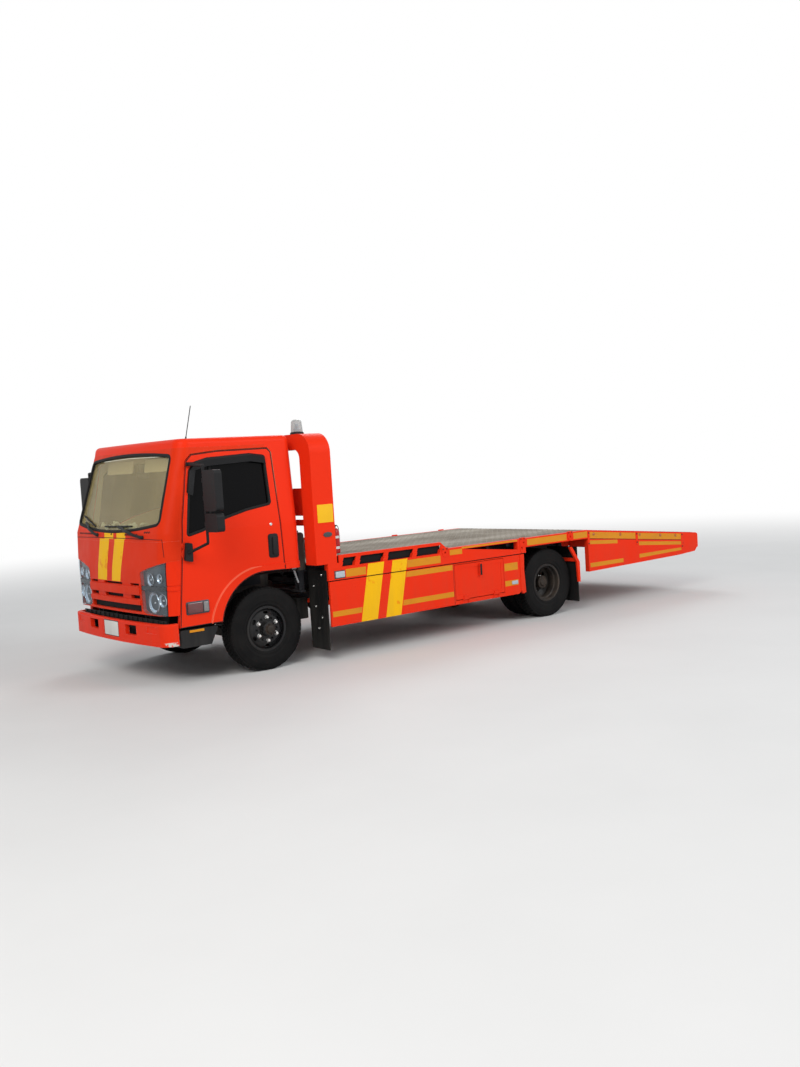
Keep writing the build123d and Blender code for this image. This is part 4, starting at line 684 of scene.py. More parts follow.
def deck_steel(name):
    """Worn chequer plate: bright tops, brown grime in the hollows, traces of old paint."""
    f = Finish(name)
    broad = f.noise(1.7, 5, 0.65, seed=2.0)
    patch = f.noise(4.5, 5, 0.7, seed=8.0).ramp(0.52, 0.66)
    tracks = (1.0 - ((f.y.abs() - 0.62).abs() * 3.2)).clamp()
    grime = (broad * 1.1 - tracks * 0.35 + patch * 0.25).clamp()
    base = f.mix(grime, (0.235, 0.205, 0.155), (0.085, 0.064, 0.042))
    rust = f.noise(14, 5, 0.7, seed=4.0).ramp(0.60, 0.72) * 0.55
    base = f.mix(rust, base, (0.115, 0.046, 0.020))
    fine = f.noise(240, 3, seed=1.0)
    return f.close(
        Base_Color=base,
        Metallic=(0.35 - grime * 0.25 - rust * 0.3).clamp(),
        Roughness=(grime * 0.35 + 0.48).clamp(),
        Specular_IOR_Level=0.2,
        Normal=f.bump(fine + grime * 0.5, 0.0004),
    )


def tape(name, colour):
    """Reflective tape with its small honeycomb cells."""
    f = Finish(name)
    cell = f.cells(260)
    edge = 1.0 - cell.ramp(0.02, 0.10)
    faded = f.noise(2.2, 3, seed=3.0)
    base = f.mix((faded - 0.45).clamp() * 0.9, colour, tuple(c * 0.70 for c in colour))
    base = f.mix(edge * 0.25, base, tuple(c * 0.6 for c in colour))
    soil = (f.noise(5, 4, seed=7.0, stretch=(1, 1, 3)) - 0.52).clamp() * 1.6
    base = f.mix(soil.clamp() * 0.5, base, (0.26, 0.13, 0.05))
    return f.close(
        Base_Color=base, Roughness=(soil * 0.4 + 0.42).clamp(), Normal=f.bump(cell, 0.00005),
        Specular_IOR_Level=0.15,
    )


def glass(name, colour, share, shine, clear_tint, veiled=1.0, sheen=0.10):
    """Pane: a see-through shader with a share of surface colour veiled with dust, and a thin gloss; on the
    windscreen that surface colour is a painted tan reflection.
    """
    f = Finish(name)
    dust = f.noise(3.0, 5, 0.6, seed=1.0)
    wiped = f.noise(22, 4, 0.6, seed=2.0)
    veil = ((dust - 0.42).clamp() * 0.22 + (wiped - 0.5).clamp() * 0.08) * veiled
    # Surface share: each pane's own tint, except on the windscreen, where it is a painted tan reflection;
    # dust veils both
    surface = f.shader("BsdfPrincipled", {
        "Base_Color": f.mix(veil.clamp(), colour, (0.30, 0.26, 0.19)), "Roughness": 0.06,
        "Specular_IOR_Level": sheen,
    })
    clear = f.shader("BsdfTransparent", {"Color": clear_tint})
    gloss = f.shader("BsdfGlossy", {"Roughness": 0.03, "Color": (0.9, 0.9, 0.9)})
    facing = f.node("ShaderNodeLayerWeight", {}, {"Blend": 0.30}, "Facing")
    pane = f.blend((veil + share).clamp(), clear, surface)
    f.show(f.blend((facing * shine * 2.0 + shine * 0.35).clamp(), pane, gloss))
    return f


def lamp_glass(body):
    """Headlamp lens: clear over the bowls, body paint where the corner panel wraps round it."""
    f = glass("lamp lens", (0.36, 0.42, 0.48), 0.06, 0.06, (0.90, 0.94, 0.97))
    at = f.y.abs()
    # Seen from ahead the lens ends at a line that leans outwards as it drops
    edge = 0.942 + (f.z - 0.70) * 0.032
    cover = (at > edge).max(f.z > 1.163)
    seam = (at > edge - 0.006) * (1.0 - cover)
    tone = f.mix((f.noise(1.6, 4, 0.6, seed=1.3) * 0.4).clamp(), body, tuple(c * 0.8 for c in body))
    paint = f.shader("BsdfPrincipled", {
        "Base_Color": f.mix(seam, tone, (0.004, 0.004, 0.004)), "Roughness": 0.34, "Specular_IOR_Level": 0.12,
    })
    f.show(f.blend(cover.max(seam), f.out.inputs[0].links[0].from_socket, paint))
    return f


def lens(name, colour):
    """Moulded lamp lens with fine prisms behind a glossy face."""
    f = Finish(name)
    ribs = ((f.z * 420).sin() + (f.x * 420 + f.y * 420).sin()) * 0.5
    base = f.mix((ribs * 0.5 + 0.5).clamp() * 0.5, colour, tuple(c * 0.45 for c in colour))
    soil = (f.noise(20, 4, seed=2.0) - 0.5).clamp()
    return f.close(
        Base_Color=base,
        Roughness=(soil * 0.8 + 0.10).clamp(),
        Normal=f.bump(ribs, 0.0003),
        Coat_Weight=(1.0 - soil * 1.5).clamp(),
    )


def cloth(name, colour):
    """Woven cover, with threads, fuzz and worn patches."""
    f = Finish(name)
    warp = (f.y * 2600).sin()
    weft = ((f.x + f.z) * 2600).sin()
    weave = warp * weft
    worn = f.noise(6, 4, seed=3.0)
    fleck = f.noise(300, 2, seed=9.0)
    base = f.mix((worn * 0.7 + (fleck - 0.5) * 0.6).clamp(), colour, tuple(c * 0.6 for c in colour))
    return f.close(
        Base_Color=base, Roughness=(worn * 0.15 + 0.82).clamp(), Normal=f.bump(weave + fleck, 0.0004)
    )


def cable(name):
    """Laid steel rope, dull and greasy."""
    f = Finish(name)
    lay = (f.x * 900 + f.y * 500 + f.z * 900).sin()
    soil = f.noise(30, 3, seed=4.0)
    base = f.mix(soil, (0.30, 0.29, 0.27), (0.06, 0.05, 0.045))
    return f.close(
        Base_Color=base, Metallic=0.7, Roughness=(soil * 0.3 + 0.35).clamp(), Normal=f.bump(lay, 0.0008)
    )


# Which finish each solid of the frame wears
WEAR = {
    "front": ("front_panel", "windscreen_frame"),
    "bumper": ("bumper",),
    "body": ("cab_rear", "cab_roof", "door_left", "door_right"),
    "side": ("side_beams", "side_skirts", "locker_door_left", "locker_door_right", "tail_frame"),
    "arch": ("gantry_arch",),
    "chassis": (
        "chassis_frame", "tilt_frame", "deck_bearers", "lift_barrel_left", "lift_barrel_right",
        "slide_barrel", "fuel_tank", "cab_floor",
    ),
    "axle": (
        "front_axle_beam", "knuckle_left", "knuckle_right", "rear_axle_housing", "leaf_springs",
        "prop_shaft", "exhaust",
    ),
    "cast": ("engine_block", "gearbox", "winch"),
    "black": ("mirror_left", "mirror_right", "cab_steps", "aerial"),
    # Painted shade: the grille backing wears the blacker black that stands in for shadow
    "deep_black": ("grille_backing",),
    "flap": ("mud_guards",),
    "rubber": ("front_tyre_left", "front_tyre_right", "rear_tyres_left", "rear_tyres_right"),
    "rim": ("front_wheel_left", "front_wheel_right"),
    "rear_rim": ("rear_wheels_left", "rear_wheels_right"),
    "glass": ("cab_glass",),
    "tinted": ("door_glass_left", "door_glass_right"),
    "lens": ("headlamps",),
    "amber": ("beacon",),
    "red_lens": ("rear_lamps",),
    "red": ("extinguisher",),
    "beige": ("dashboard",),
    "grip": ("steering_wheel",),
    "cloth": ("seats",),
    "chrome": ("lift_rod_left", "lift_rod_right", "slide_rod"),
    "deck": ("deck_plate",),
}


# Sizes and colours a user may change

class TruckColours(PropertyGroup):
    body: FloatVectorProperty(
        name="Body paint", description="Paint of the cab and the bed", default=ORANGE,
        size=3, subtype="COLOR", min=0.0, max=1.0,
    )
    chassis: FloatVectorProperty(
        name="Chassis paint", description="Paint of the frame and axle parts", default=(0.016, 0.018, 0.024),
        size=3, subtype="COLOR", min=0.0, max=1.0,
    )


class TruckSizes(PropertyGroup):
    tape_thickness: FloatProperty(
        name="Tape thickness", description="How far reflective tape stands off the paint",
        default=0.0007, unit="LENGTH",
    )
    chequer_pitch: FloatProperty(
        name="Chequer pitch", description="Distance between the bars of the deck's chequer plate",
        default=0.045, unit="LENGTH",
    )
    tread_blocks: IntProperty(
        name="Tread blocks", description="Blocks round one tyre", default=60, min=24,
    )


def sizes():
    return bpy.context.scene.truck_sizes


def colours():
    return bpy.context.scene.truck_colours


# Finding the truck's painted surfaces

class Skin:
    """Outer surface of some solids, found by looking at it straight from outside."""

    def __init__(self, *names):
        self.tree = skin_tree(*names)

    def seen(self, start, ahead):
        """Point and normal first met from a start, or None."""
        spot, normal, _, _ = self.tree.ray_cast(Vector(start), Vector(ahead).normalized(), 6.0)
        if spot is None:
            return None
        if normal.dot(Vector(ahead)) > 0:
            normal = -normal
        return spot, normal

    def front(self, y, z):
        return self.seen((5.0, y, z), (-1, 0, 0))

    def side(self, x, z, sign):
        return self.seen((x, sign * 2.5, z), (0, -sign, 0))


def sampled(points, step):
    """Closed flat outline cut into short steps."""
    out = []
    for a, b in zip(points, points[1:] + points[:1]):
        a, b = Vector(a), Vector(b)
        n = max(1, int((b - a).length / step))
        out += [tuple(a.lerp(b, i / n)) for i in range(n)]
    return out


def bead(bm, spots, section, closed=True):
    """Profile of (across, out) pairs carried along the spots that were met, each a point and its normal."""
    spots = [s for s in spots if s]
    n = len(spots)
    rings = []
    for i, (point, normal) in enumerate(spots):
        if closed:
            ahead = spots[(i + 1) % n][0] - spots[i - 1][0]
        else:
            ahead = spots[min(i + 1, n - 1)][0] - spots[max(i - 1, 0)][0]
        across = ahead.cross(normal).normalized()
        rings.append([bm.verts.new(point + across * a + normal * out) for a, out in section])
    walls(bm, rings + rings[:1] if closed else rings, not closed)


def round_section(width, height, sunk):
    """Low rounded strip, flat underneath."""
    half = width / 2
    return [(-half, -sunk), (-half, height * 0.45), (-half * 0.62, height * 0.92), (0, height),
            (half * 0.62, height * 0.92), (half, height * 0.45), (half, -sunk)]


# Repeats by rule

class Copies:
    """Geometry tree that repeats the incoming mesh and gives the copies a finish."""

    def __init__(self, name, sockets):
        self.tree = bpy.data.node_groups.new(name, "GeometryNodeTree")
        face = self.tree.interface
        face.new_socket("Geometry", in_out="INPUT", socket_type="NodeSocketGeometry")
        for label, kind, default in sockets:
            face.new_socket(label, in_out="INPUT", socket_type="NodeSocket" + kind).default_value = default
        face.new_socket("Geometry", in_out="OUTPUT", socket_type="NodeSocketGeometry")
        self.given = self.tree.nodes.new("NodeGroupInput").outputs

    def add(self, kind, inputs, **settings):
        """Add a node, feed its inputs and return its first output."""
        made = self.tree.nodes.new(kind)
        for key, value in settings.items():
            setattr(made, key, value)
        for key, value in inputs.items():
            if isinstance(value, bpy.types.NodeSocket):
                self.tree.links.new(value, made.inputs[key])
            else:
                made.inputs[key].default_value = value
        return made.outputs[0]

    def calc(self, operation, *values):
        return self.add("ShaderNodeMath", dict(enumerate(values)), operation=operation)

    def finish(self, points, material, turn=None):
        """Put a copy on each point, make the copies real and send them out."""
        places = {"Points": points, "Instance": self.given["Geometry"]}
        copies = self.add("GeometryNodeInstanceOnPoints", places)
        if turn:
            copies = self.add("GeometryNodeRotateInstances", {"Instances": copies, "Rotation": turn})
        real = self.add("GeometryNodeRealizeInstances", {0: copies})
        painted = self.add("GeometryNodeSetMaterial", {0: real, "Material": material})
        self.tree.links.new(painted, self.tree.nodes.new("NodeGroupOutput").inputs[0])
        return self.tree


def ring_tree(material):
    """Copies of the incoming mesh turned about the Y axis."""
    ring = Copies("Ring of copies", [("Copies", "Int", 6), ("First angle", "Float", 0.0)])
    count = ring.given["Copies"]
    share = ring.calc("DIVIDE", ring.add("GeometryNodeInputIndex", {}), count)
    angle = ring.calc("MULTIPLY_ADD", share, 2 * math.pi, ring.given["First angle"])
    turn = ring.add("ShaderNodeCombineXYZ", {"Y": angle})
    return ring.finish(ring.add("GeometryNodePoints", {"Count": count}), material, turn)


def grid_tree(material):
    """Copies of the incoming mesh over a grid, every other one turned a quarter."""
    grid = Copies("Grid of copies", [
        ("Length", "Float", 1.0), ("Width", "Float", 1.0), ("Rows", "Int", 4), ("Columns", "Int", 4),
        ("Lean", "Float", 0.785398),
    ])
    given, calc = grid.given, grid.calc
    points = grid.add("GeometryNodeMeshGrid", {
        "Size X": given["Length"], "Size Y": given["Width"],
        "Vertices X": given["Rows"], "Vertices Y": given["Columns"],
    })
    index, columns = grid.add("GeometryNodeInputIndex", {}), given["Columns"]
    row = calc("FLOOR", calc("DIVIDE", calc("ADD", index, 0.5), columns))
    column = calc("SUBTRACT", index, calc("MULTIPLY", row, columns))
    odd = calc("FLOORED_MODULO", calc("ADD", row, column), 2.0)
    sign = calc("SUBTRACT", calc("MULTIPLY", odd, 2.0), 1.0)
    turn = grid.add("ShaderNodeCombineXYZ", {"Z": calc("MULTIPLY", sign, given["Lean"])})
    return grid.finish(points, material, turn)


def line_tree(material):
    """Copies of the incoming mesh along a line at even steps."""
    line = Copies("Row of copies", [("Copies", "Int", 5), ("Step", "Vector", (0.1, 0, 0))])
    points = line.add("GeometryNodeMeshLine", {"Count": line.given["Copies"], "Offset": line.given["Step"]})
    return line.finish(points, material)


def repeated(bm, tree, values, at=(0, 0, 0)):
    """Run a tree on a mesh and return the result as a new bmesh, moved to a place."""
    mesh = bpy.data.meshes.new("one copy")
    bmesh.ops.recalc_face_normals(bm, faces=bm.faces)
    bm.to_mesh(mesh)
    bm.free()
    holder = bpy.data.objects.new("one copy", mesh)
    bpy.context.scene.collection.objects.link(holder)
    run = holder.modifiers.new("Copies", "NODES")
    run.node_group = tree
    for item in tree.interface.items_tree:
        if item.in_out == "INPUT" and item.name in values:
            run[item.identifier] = values[item.name]
    graph = bpy.context.evaluated_depsgraph_get()
    made = bpy.data.meshes.new_from_object(holder.evaluated_get(graph))
    out = bmesh.new()
    out.from_mesh(made)
    bpy.data.objects.remove(holder)
    bpy.data.meshes.remove(made)
    bpy.data.node_groups.remove(tree)
    shift(out, Vector(at))
    return out


def fx(x):
    """Place along the truck from the front axle."""
    return FRONT_AXLE + x


# Pieces

class TRUCK_OT_paint(Operator):
    """Make the finishes and put them on the solids of the frame"""
    bl_idname = "truck.paint"
    bl_label = "Paint the truck"

    def execute(self, context):
        make_finishes(colours())
        painted = set()
        for finish, names in WEAR.items():
            for name in names:
                put_on(NODES[name], finish)
                painted.add(name)
        missing = sorted(set(NODES) - painted)
        if missing:
            raise RuntimeError("no finish for " + ", ".join(missing))
        return {"FINISHED"}


def tyre_profile():
    """Half section of a tyre as (along the axle, radius), from the tread's middle to the bead."""
    return [
        (0.0000, 0.3915), (0.0160, 0.3914), (0.0165, 0.3905), (0.0500, 0.3900), (0.0840, 0.3872),
        (0.0905, 0.3830), (0.0925, 0.3770), (0.0965, 0.3660), (0.0968, 0.3630), (0.0990, 0.3560),
        (0.1010, 0.3450), (0.1012, 0.3440), (0.1020, 0.3430), (0.1022, 0.3350), (0.1025, 0.3200),
        (0.1024, 0.2980), (0.1016, 0.2760), (0.1018, 0.2740), (0.1018, 0.2700), (0.1006, 0.2680),
        (0.0990, 0.2560), (0.0965, 0.2440), (0.0972, 0.2420), (0.0972, 0.2370), (0.0950, 0.2340),
        (0.0900, 0.2270), (0.0865, 0.2215), (0.0800, 0.2195), (0.0780, 0.2100), (0.0775, 0.2040),
        (0.0650, 0.2040), (0.0680, 0.2400), (0.0860, 0.2900), (0.0880, 0.3300), (0.0760, 0.3640),
        (0.0000, 0.3740),
    ]


def tread_pitch(step):
    """Blocks of one pitch of road tread, at the top of a tyre centred on the origin."""
    bm = bmesh.new()
    ribs = ((-0.0905, -0.0555, 0.3965, 0.3998, 0.10), (-0.0480, -0.0205, 0.3999, 0.4000, 0.16),
            (-0.0130, 0.0130, 0.4000, 0.4000, 0.20), (0.0205, 0.0480, 0.4000, 0.3999, 0.16),
            (0.0555, 0.0905, 0.3998, 0.3965, 0.10))
    for number, (low, high, r_low, r_high, gap) in enumerate(ribs):
        outer = number in (0, 4)
        offset = 0.0 if number % 2 == 0 else 0.5
        zig = 0.0 if outer else 0.10
        corners = []
        for side, across, top in ((0, low, r_low), (1, high, r_high)):
            row = []
            for share in (gap / 2, 0.5, 1 - gap / 2):
                wave = zig * (0.5 - abs(share - 0.5)) * 0.03
                angle = (share + offset + (0.12 if side and not outer else 0.0)) * step
                row.append((across + wave, angle, top))
            corners.append(row)
        rings = []
        for depth in (0.0115, 0.0012, 0.0):
            inset = 0.0 if depth > 0.0001 else 0.0012
            ring = []
            order = [corners[0][0], corners[0][1], corners[0][2], corners[1][2], corners[1][1], corners[1][0]]
            mid_a = sum(c[0] for c in order) / 6
            mid_t = sum(c[1] for c in order) / 6
            for across, angle, top in order:
                a = across + (mid_a - across) * inset / 0.014
                t = angle + (mid_t - angle) * inset / 0.014
                r = top - depth
                ring.append(bm.verts.new((math.sin(t) * r, a, math.cos(t) * r)))
            rings.append(ring)
        walls(bm, rings)
        top = rings[-1]
        bm.faces.new((top[0], top[1], top[4], top[5]))
        bm.faces.new((top[1], top[2], top[3], top[4]))
    return bm


def make_tyre(x, y_mid):
    """One tyre with its tread, as a bmesh."""
    half = tyre_profile()
    outer = [(-a, r) for a, r in half[:30][::-1]] + half[1:30]
    inner = half[30:] + [(-a, r) for a, r in half[30:-1][::-1]]
    bm = bmesh.new()
    turned(bm, outer + inner, (0, 0, 0), (0, 1, 0), 112, closed=True)
    count = sizes().tread_blocks
    step = 2 * math.pi / count
    join(bm, repeated(tread_pitch(step), ring_tree(finish_of("rubber")), {"Copies": count}))
    shift(bm, (x, y_mid, AXLE_Z))
    return bm


class TRUCK_OT_tyres(Operator):
    """Tyres with tread blocks, grooves and side wall rings"""
    bl_idname = "truck.tyres"
    bl_label = "Tyres"

    def execute(self, context):
        def front(word, sign):
            piece = new_piece("tyre_front_" + word, make_tyre(FRONT_AXLE, sign * FRONT_TYRE_Y), "rubber",
                              "front_wheel_" + word, 40)
            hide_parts("front_tyre_" + word)

        def rear(word, sign):
            bm, outer = (make_tyre(REAR_AXLE, sign * y) for y in REAR_TYRE_Y)
            join(bm, outer)
            piece = new_piece("tyres_rear_" + word, bm, "rubber", "rear_wheel_" + word, 40)
            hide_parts("rear_tyres_" + word)

        both_sides(front)
        both_sides(rear)
        return {"FINISHED"}


def arc_through(a, b, c, n=16):
    """Flat points along the circle through three points."""
    (ux, uy), r = circle_of(a, b, c)
    start, mid, end = (math.atan2(y - uy, x - ux) for x, y in (a, b, c))
    sweep = (end - start) % (2 * math.pi)
    if (mid - start) % (2 * math.pi) > sweep:
        sweep -= 2 * math.pi
    return [(ux + r * math.cos(start + sweep * i / n),
             uy + r * math.sin(start + sweep * i / n)) for i in range(n + 1)]


def grown(points, by):
    """Flat outline moved outwards."""
    n = len(points)
    area = sum(a[0] * b[1] - b[0] * a[1] for a, b in zip(points, points[1:] + points[:1]))
    turn = 1 if area > 0 else -1
    out = []
    for i in range(n):
        before, after = Vector(points[i - 1]), Vector(points[(i + 1) % n])
        along = (after - before).normalized()
        out.append((points[i][0] + along.y * by * turn, points[i][1] - along.x * by * turn))
    return out


def windscreen_outline():
    """Windscreen opening as (y, z)."""
    low = arc_through((-0.880, 1.492), (0, 1.424), (0.880, 1.492))
    top = arc_through((0.836, 2.096), (0, 2.134), (-0.836, 2.096))
    return round_corners(low + top, 0.062)


SIDE_WINDOW = (
    (0.808, 1.372), (0.640, 1.412), (0.400, 1.506), (0.170, 1.562), (-0.092, 1.600),
    (-0.078, 2.052), (0.080, 2.072), (0.540, 2.050), (0.660, 2.020), (0.718, 1.960),
)


def side_window_outline():
    """Door window opening as (x, z)."""
    return round_corners([(fx(x), z) for x, z in SIDE_WINDOW], 0.026)


def carried(skin_call, outline, step, grow):
    """Spots on the painted skin along a grown outline."""
    spots = [skin_call(*p) for p in sampled(grown(outline, grow), step)]
    return [s for s in spots if s]


class TRUCK_OT_wheel_trim(Operator):
    """Bright wheel nuts, hub caps and the bolts round them"""
    bl_idname = "truck.wheel_trim"
    bl_label = "Wheel nuts and hub caps"

    def execute(self, context):
        for where, x, face, nose in (("front", FRONT_AXLE, 0.930, 0.982), ("rear", REAR_AXLE, 0.835, 0.965)):
            both_sides(self.dress, where, x, face, nose)
        return {"FINISHED"}

    def dress(self, word, sign, where, x, face, nose):
        body = where + "_wheel_" + word
        nuts = repeated(wheel_nut(sign), ring_tree(finish_of("nut")), {"Copies": 6, "First angle": 0.0})
        shift(nuts, (x, sign * face, AXLE_Z))
        new_piece("nuts_%s_%s" % (where, word), nuts, "nut", body, 30)
        bm = bmesh.new()
        y = sign * nose
        profile = [(-0.030, 0.0600), (-0.006, 0.0595), (0.0005, 0.0560), (0.0015, 0.0440), (0.0060, 0.0420),
                   (0.0150, 0.0390), (0.0190, 0.0330), (0.0205, 0.0220), (0.0210, 0.0)]
        if where == "rear":
            profile = [(-0.020, 0.0745), (-0.0020, 0.0745), (0.0040, 0.0720), (0.0050, 0.0480),
                       (0.0120, 0.0450), (0.0180, 0.0380), (0.0195, 0.0200), (0.0200, 0.0)]
        turned(bm, profile, (x, y, AXLE_Z), (0, sign, 0), 48)
        reach = 0.050 if where == "front" else 0.060
        one = bmesh.new()
        hexagon(one, (0, 0, reach), (0, sign, 0), 0.0075, 0.009)
        bolts = repeated(one, ring_tree(finish_of("hub")), {"Copies": 8, "First angle": 0.2})
        shift(bolts, (x, y, AXLE_Z))
        join(bm, bolts)
        new_piece("hub_cap_%s_%s" % (where, word), bm, "hub", body, 30)


def hexagon(bm, at, axis, radius, height, crown=0.25):
    """Hexagon nut or bolt head standing on a point, with a chamfered top."""
    part = bmesh.new()
    turned(part, [(-0.002, radius), (height * (1 - crown), radius), (height, radius * 0.80), (height, 0.0)],
           at, axis, 6)
    join(bm, part)


def wheel_nut(sign):
    """One capped wheel nut at the top of the stud circle, standing on the plane y = 0."""
    bm = bmesh.new()
    turned(bm, [(-0.001, 0.0205), (0.003, 0.0205), (0.0045, 0.0180)], (0, 0, STUD_CIRCLE), (0, sign, 0), 24)
    hexagon(bm, (0, 0.003 * sign, STUD_CIRCLE), (0, sign, 0), 0.0172, 0.017, 0.15)
    turned(bm, [(0.018, 0.0135), (0.0235, 0.0120), (0.0265, 0.0080), (0.0275, 0.0)], (0, 0, STUD_CIRCLE),
           (0, sign, 0), 16)
    return bm


class TRUCK_OT_seals(Operator):
    """Rubber seals round the glass, with the rain visors over the doors"""
    bl_idname = "truck.seals"
    bl_label = "Glass seals and rain visors"

    def execute(self, context):
        skin = Skin("windscreen_frame", "front_panel", "cab_roof")
        bm = bmesh.new()
        spots = carried(skin.front, windscreen_outline(), 0.02, 0.007)
        bead(bm, spots, [(-0.020, -0.016), (-0.019, 0.001), (-0.012, 0.0055), (0.0, 0.0065), (0.008, 0.0045),
                         (0.011, -0.001)])
        new_piece("windscreen_seal", bm, "seal", "cab", 50)
        back = Skin("cab_rear")
        bm = bmesh.new()
        outline = round_corners([(-0.520, 1.500), (0.520, 1.500), (0.500, 1.990), (-0.500, 1.990)], 0.070)
        spots = [back.seen((-3.0, y, z), (1, 0, 0)) for y, z in sampled(grown(outline, 0.007), 0.02)]
        bead(bm, spots, round_section(0.030, 0.006, 0.010))
        new_piece("rear_window_seal", bm, "seal", "cab", 50)
        both_sides(self.door_seal)
        return {"FINISHED"}

    def door_seal(self, word, sign):
        skin = Skin("door_" + word)
        bm = bmesh.new()
        outline = side_window_outline()
        spots = carried(lambda x, z: skin.side(x, z, sign), outline, 0.02, 0.006)
        bead(bm, spots, [(-0.016, -0.018), (-0.015, 0.0), (-0.006, 0.0035), (0.006, 0.003), (0.010, -0.001)])
        # Post between the quarter glass and the drop glass
        low, high = (fx(0.560), 1.452), (fx(0.500), 2.046)
        line = [(low[0] + (high[0] - low[0]) * t, low[1] + (high[1] - low[1]) * t) for t in (0, 0.5, 1)]
        post = []
        for x, z in line:
            share = (z - 1.40) / (2.165 - 1.40)
            post.append((Vector((x, sign * (0.998 - 0.060 * max(0.0, share) - 0.0185), z)),
                         Vector((0, sign, 0.08)).normalized()))
        bead(bm, post, round_section(0.022, 0.010, 0.002), False)
        new_piece("door_seal_" + word, bm, "seal", "door_" + word, 50)
        bm = bmesh.new()
        top = [(-0.080, 2.060), (0.080, 2.084), (0.540, 2.062), (0.668, 2.030), (0.735, 1.958),
               (0.775, 1.760)]
        rows = []
        for i, (x, z) in enumerate(top):
            seat = skin.side(fx(x), z + 0.004, sign) or (Vector((fx(x), sign * 0.95, z)), None)
            drop = 0.075 if i < 4 else 0.060
            y = seat[0].y
            lean = 0.0 if i < 4 else -0.050
            low_z = z - (drop if i < 5 else 0.03)
            rows.append((Vector((fx(x), y + sign * 0.001, z + 0.004)),
                         Vector((fx(x), y + sign * 0.022, z - 0.014)),
                         Vector((fx(x + lean), y + sign * 0.024, low_z))))
        lines = [[], [], []]
        for a, b in zip(rows[:-1], rows[1:]):
            for t in range(6):
                for k in range(3):
                    lines[k].append(a[k].lerp(b[k], t / 6))
        for k in range(3):
            lines[k].append(rows[-1][k])
        grid = [[bm.verts.new(p) for p in line] for line in lines]
        thick_sheet(bm, grid, 0.003)
        new_piece("rain_visor_" + word, bm, "gloss_black", "door_" + word, 40)


class TRUCK_OT_door_trim(Operator):
    """Door handles, locks, side indicators and the mirror glass"""
    bl_idname = "truck.door_trim"
    bl_label = "Door handles, lamps and mirrors"

    def execute(self, context):
        both_sides(self.dress)
        return {"FINISHED"}

    def dress(self, word, sign):
        skin = Skin("door_" + word)
        body = "door_" + word

        def plate(bm, outline, low, high, bevel):
            """Plate on the door between two distances off its skin."""
            mid = (sum(p[0] for p in outline) / len(outline), sum(p[1] for p in outline) / len(outline))
            seat = skin.side(*mid, sign)[0].y
            ys = sorted((seat + sign * low, seat + sign * high))
            outline_plate(bm, outline, ys[0], ys[1], 1, bevel)

        def rect(x0, x1, z0, z1, radius):
            return rectangle(fx(x0), fx(x1), z0, z1, radius)

        bm = bmesh.new()
        plate(bm, rect(-0.143, -0.032, 1.080, 1.310, 0.030), -0.004, 0.008, 0.004)
        plate(bm, rect(-0.132, -0.043, 1.092, 1.298, 0.024), 0.0, 0.0105, 0.003)
        plate(bm, rect(-0.122, -0.070, 1.110, 1.282, 0.018), 0.0, 0.024, 0.006)
        new_piece("handle_" + word, bm, "black", body)
        bm = bmesh.new()
        seat = skin.side(fx(-0.076), 1.402, sign)[0]
        turned(bm, [(-0.002, 0.0150), (0.003, 0.0148), (0.005, 0.0125), (0.005, 0.0060), (0.0035, 0.0050),
                    (0.0035, 0.0)],
               seat, (0, sign, 0), 28)
        new_piece("lock_" + word, bm, "steel", body)
        # Dark seam round the door
        bm = bmesh.new()
        outline = [(0.944, 0.545), (0.856, 1.500), (0.842, 1.563), (0.752, 2.040), (0.690, 2.098),
                   (0.420, 2.122), (-0.120, 2.128), (-0.160, 2.090), (-0.206, 0.957)]
        outline += arc_through((0.070, 0.957), (0.365, 0.822), (0.512, 0.545), 14)
        spots = carried(lambda x, z: skin.side(fx(x), z, sign), outline, 0.02, -0.005)
        bead(bm, spots, round_section(0.008, 0.0008, 0.002))
        new_piece("door_seam_" + word, bm, "seal", body, 50)
        bm = bmesh.new()
        ys = sorted((sign * 1.1745, sign * 1.1795))
        block(bm, (fx(-2.630) - 0.013, ys[0], 0.630), (fx(-2.630) + 0.013, ys[1], 0.752), 0.003)
        new_piece("locker_latch_" + word, bm, "seal", "locker_door_" + word)
        # Side indicator: a dark red lens with a clear cap at its rear end
        bm = bmesh.new()
        plate(bm, rect(0.643, 0.878, 0.655, 0.772, 0.016), -0.006, 0.007, 0.004)
        new_piece("indicator_base_" + word, bm, "lamp_grey", body)
        bm = bmesh.new()
        plate(bm, rect(0.714, 0.868, 0.666, 0.761, 0.010), 0.0, 0.018, 0.006)
        new_piece("indicator_red_" + word, bm, "side_red", body)
        bm = bmesh.new()
        plate(bm, rect(0.655, 0.706, 0.668, 0.759, 0.010), 0.0, 0.019, 0.006)
        new_piece("indicator_clear_" + word, bm, "grey_lens", body)
        # Mirror glass with its raised rim
        bm = bmesh.new()
        rims = bmesh.new()
        for low, high in ((1.400, 1.565), (1.585, 1.950)):
            y0, y1 = sorted((sign * 1.2315, sign * 1.4385))
            outer = rectangle(y0, y1, low + 0.004, high - 0.004, 0.031)
            inner = grown(outer, -0.010)
            outline_plate(bm, inner, fx(0.6738), fx(0.6756), 0)
            spots = [(Vector((fx(0.675), y, z)), Vector((-1, 0, 0)))
                     for y, z in sampled(grown(outer, -0.006), 0.02)]
            bead(rims, spots, round_section(0.010, 0.0035, 0.001))
        new_piece("mirror_glass_" + word, bm, "mirror", body)
        # Front of each mirror: a shallow moulded panel and clamp
        for low, high in ((1.414, 1.552), (1.612, 1.925)):
            y0, y1 = sorted((sign * 1.247, sign * 1.423))
            outline_plate(rims, rectangle(y0, y1, low, high, 0.026), fx(0.709), fx(0.7155), 0, 0.004)
        for z in (1.470, 1.700, 1.860):
            ends = [(fx(0.735), sign * 1.225, z + up) for up in (-0.020, 0.020)]
            tube(rims, ends, 0.0185, 14)
        new_piece("mirror_trim_" + word, rims, "black", body)


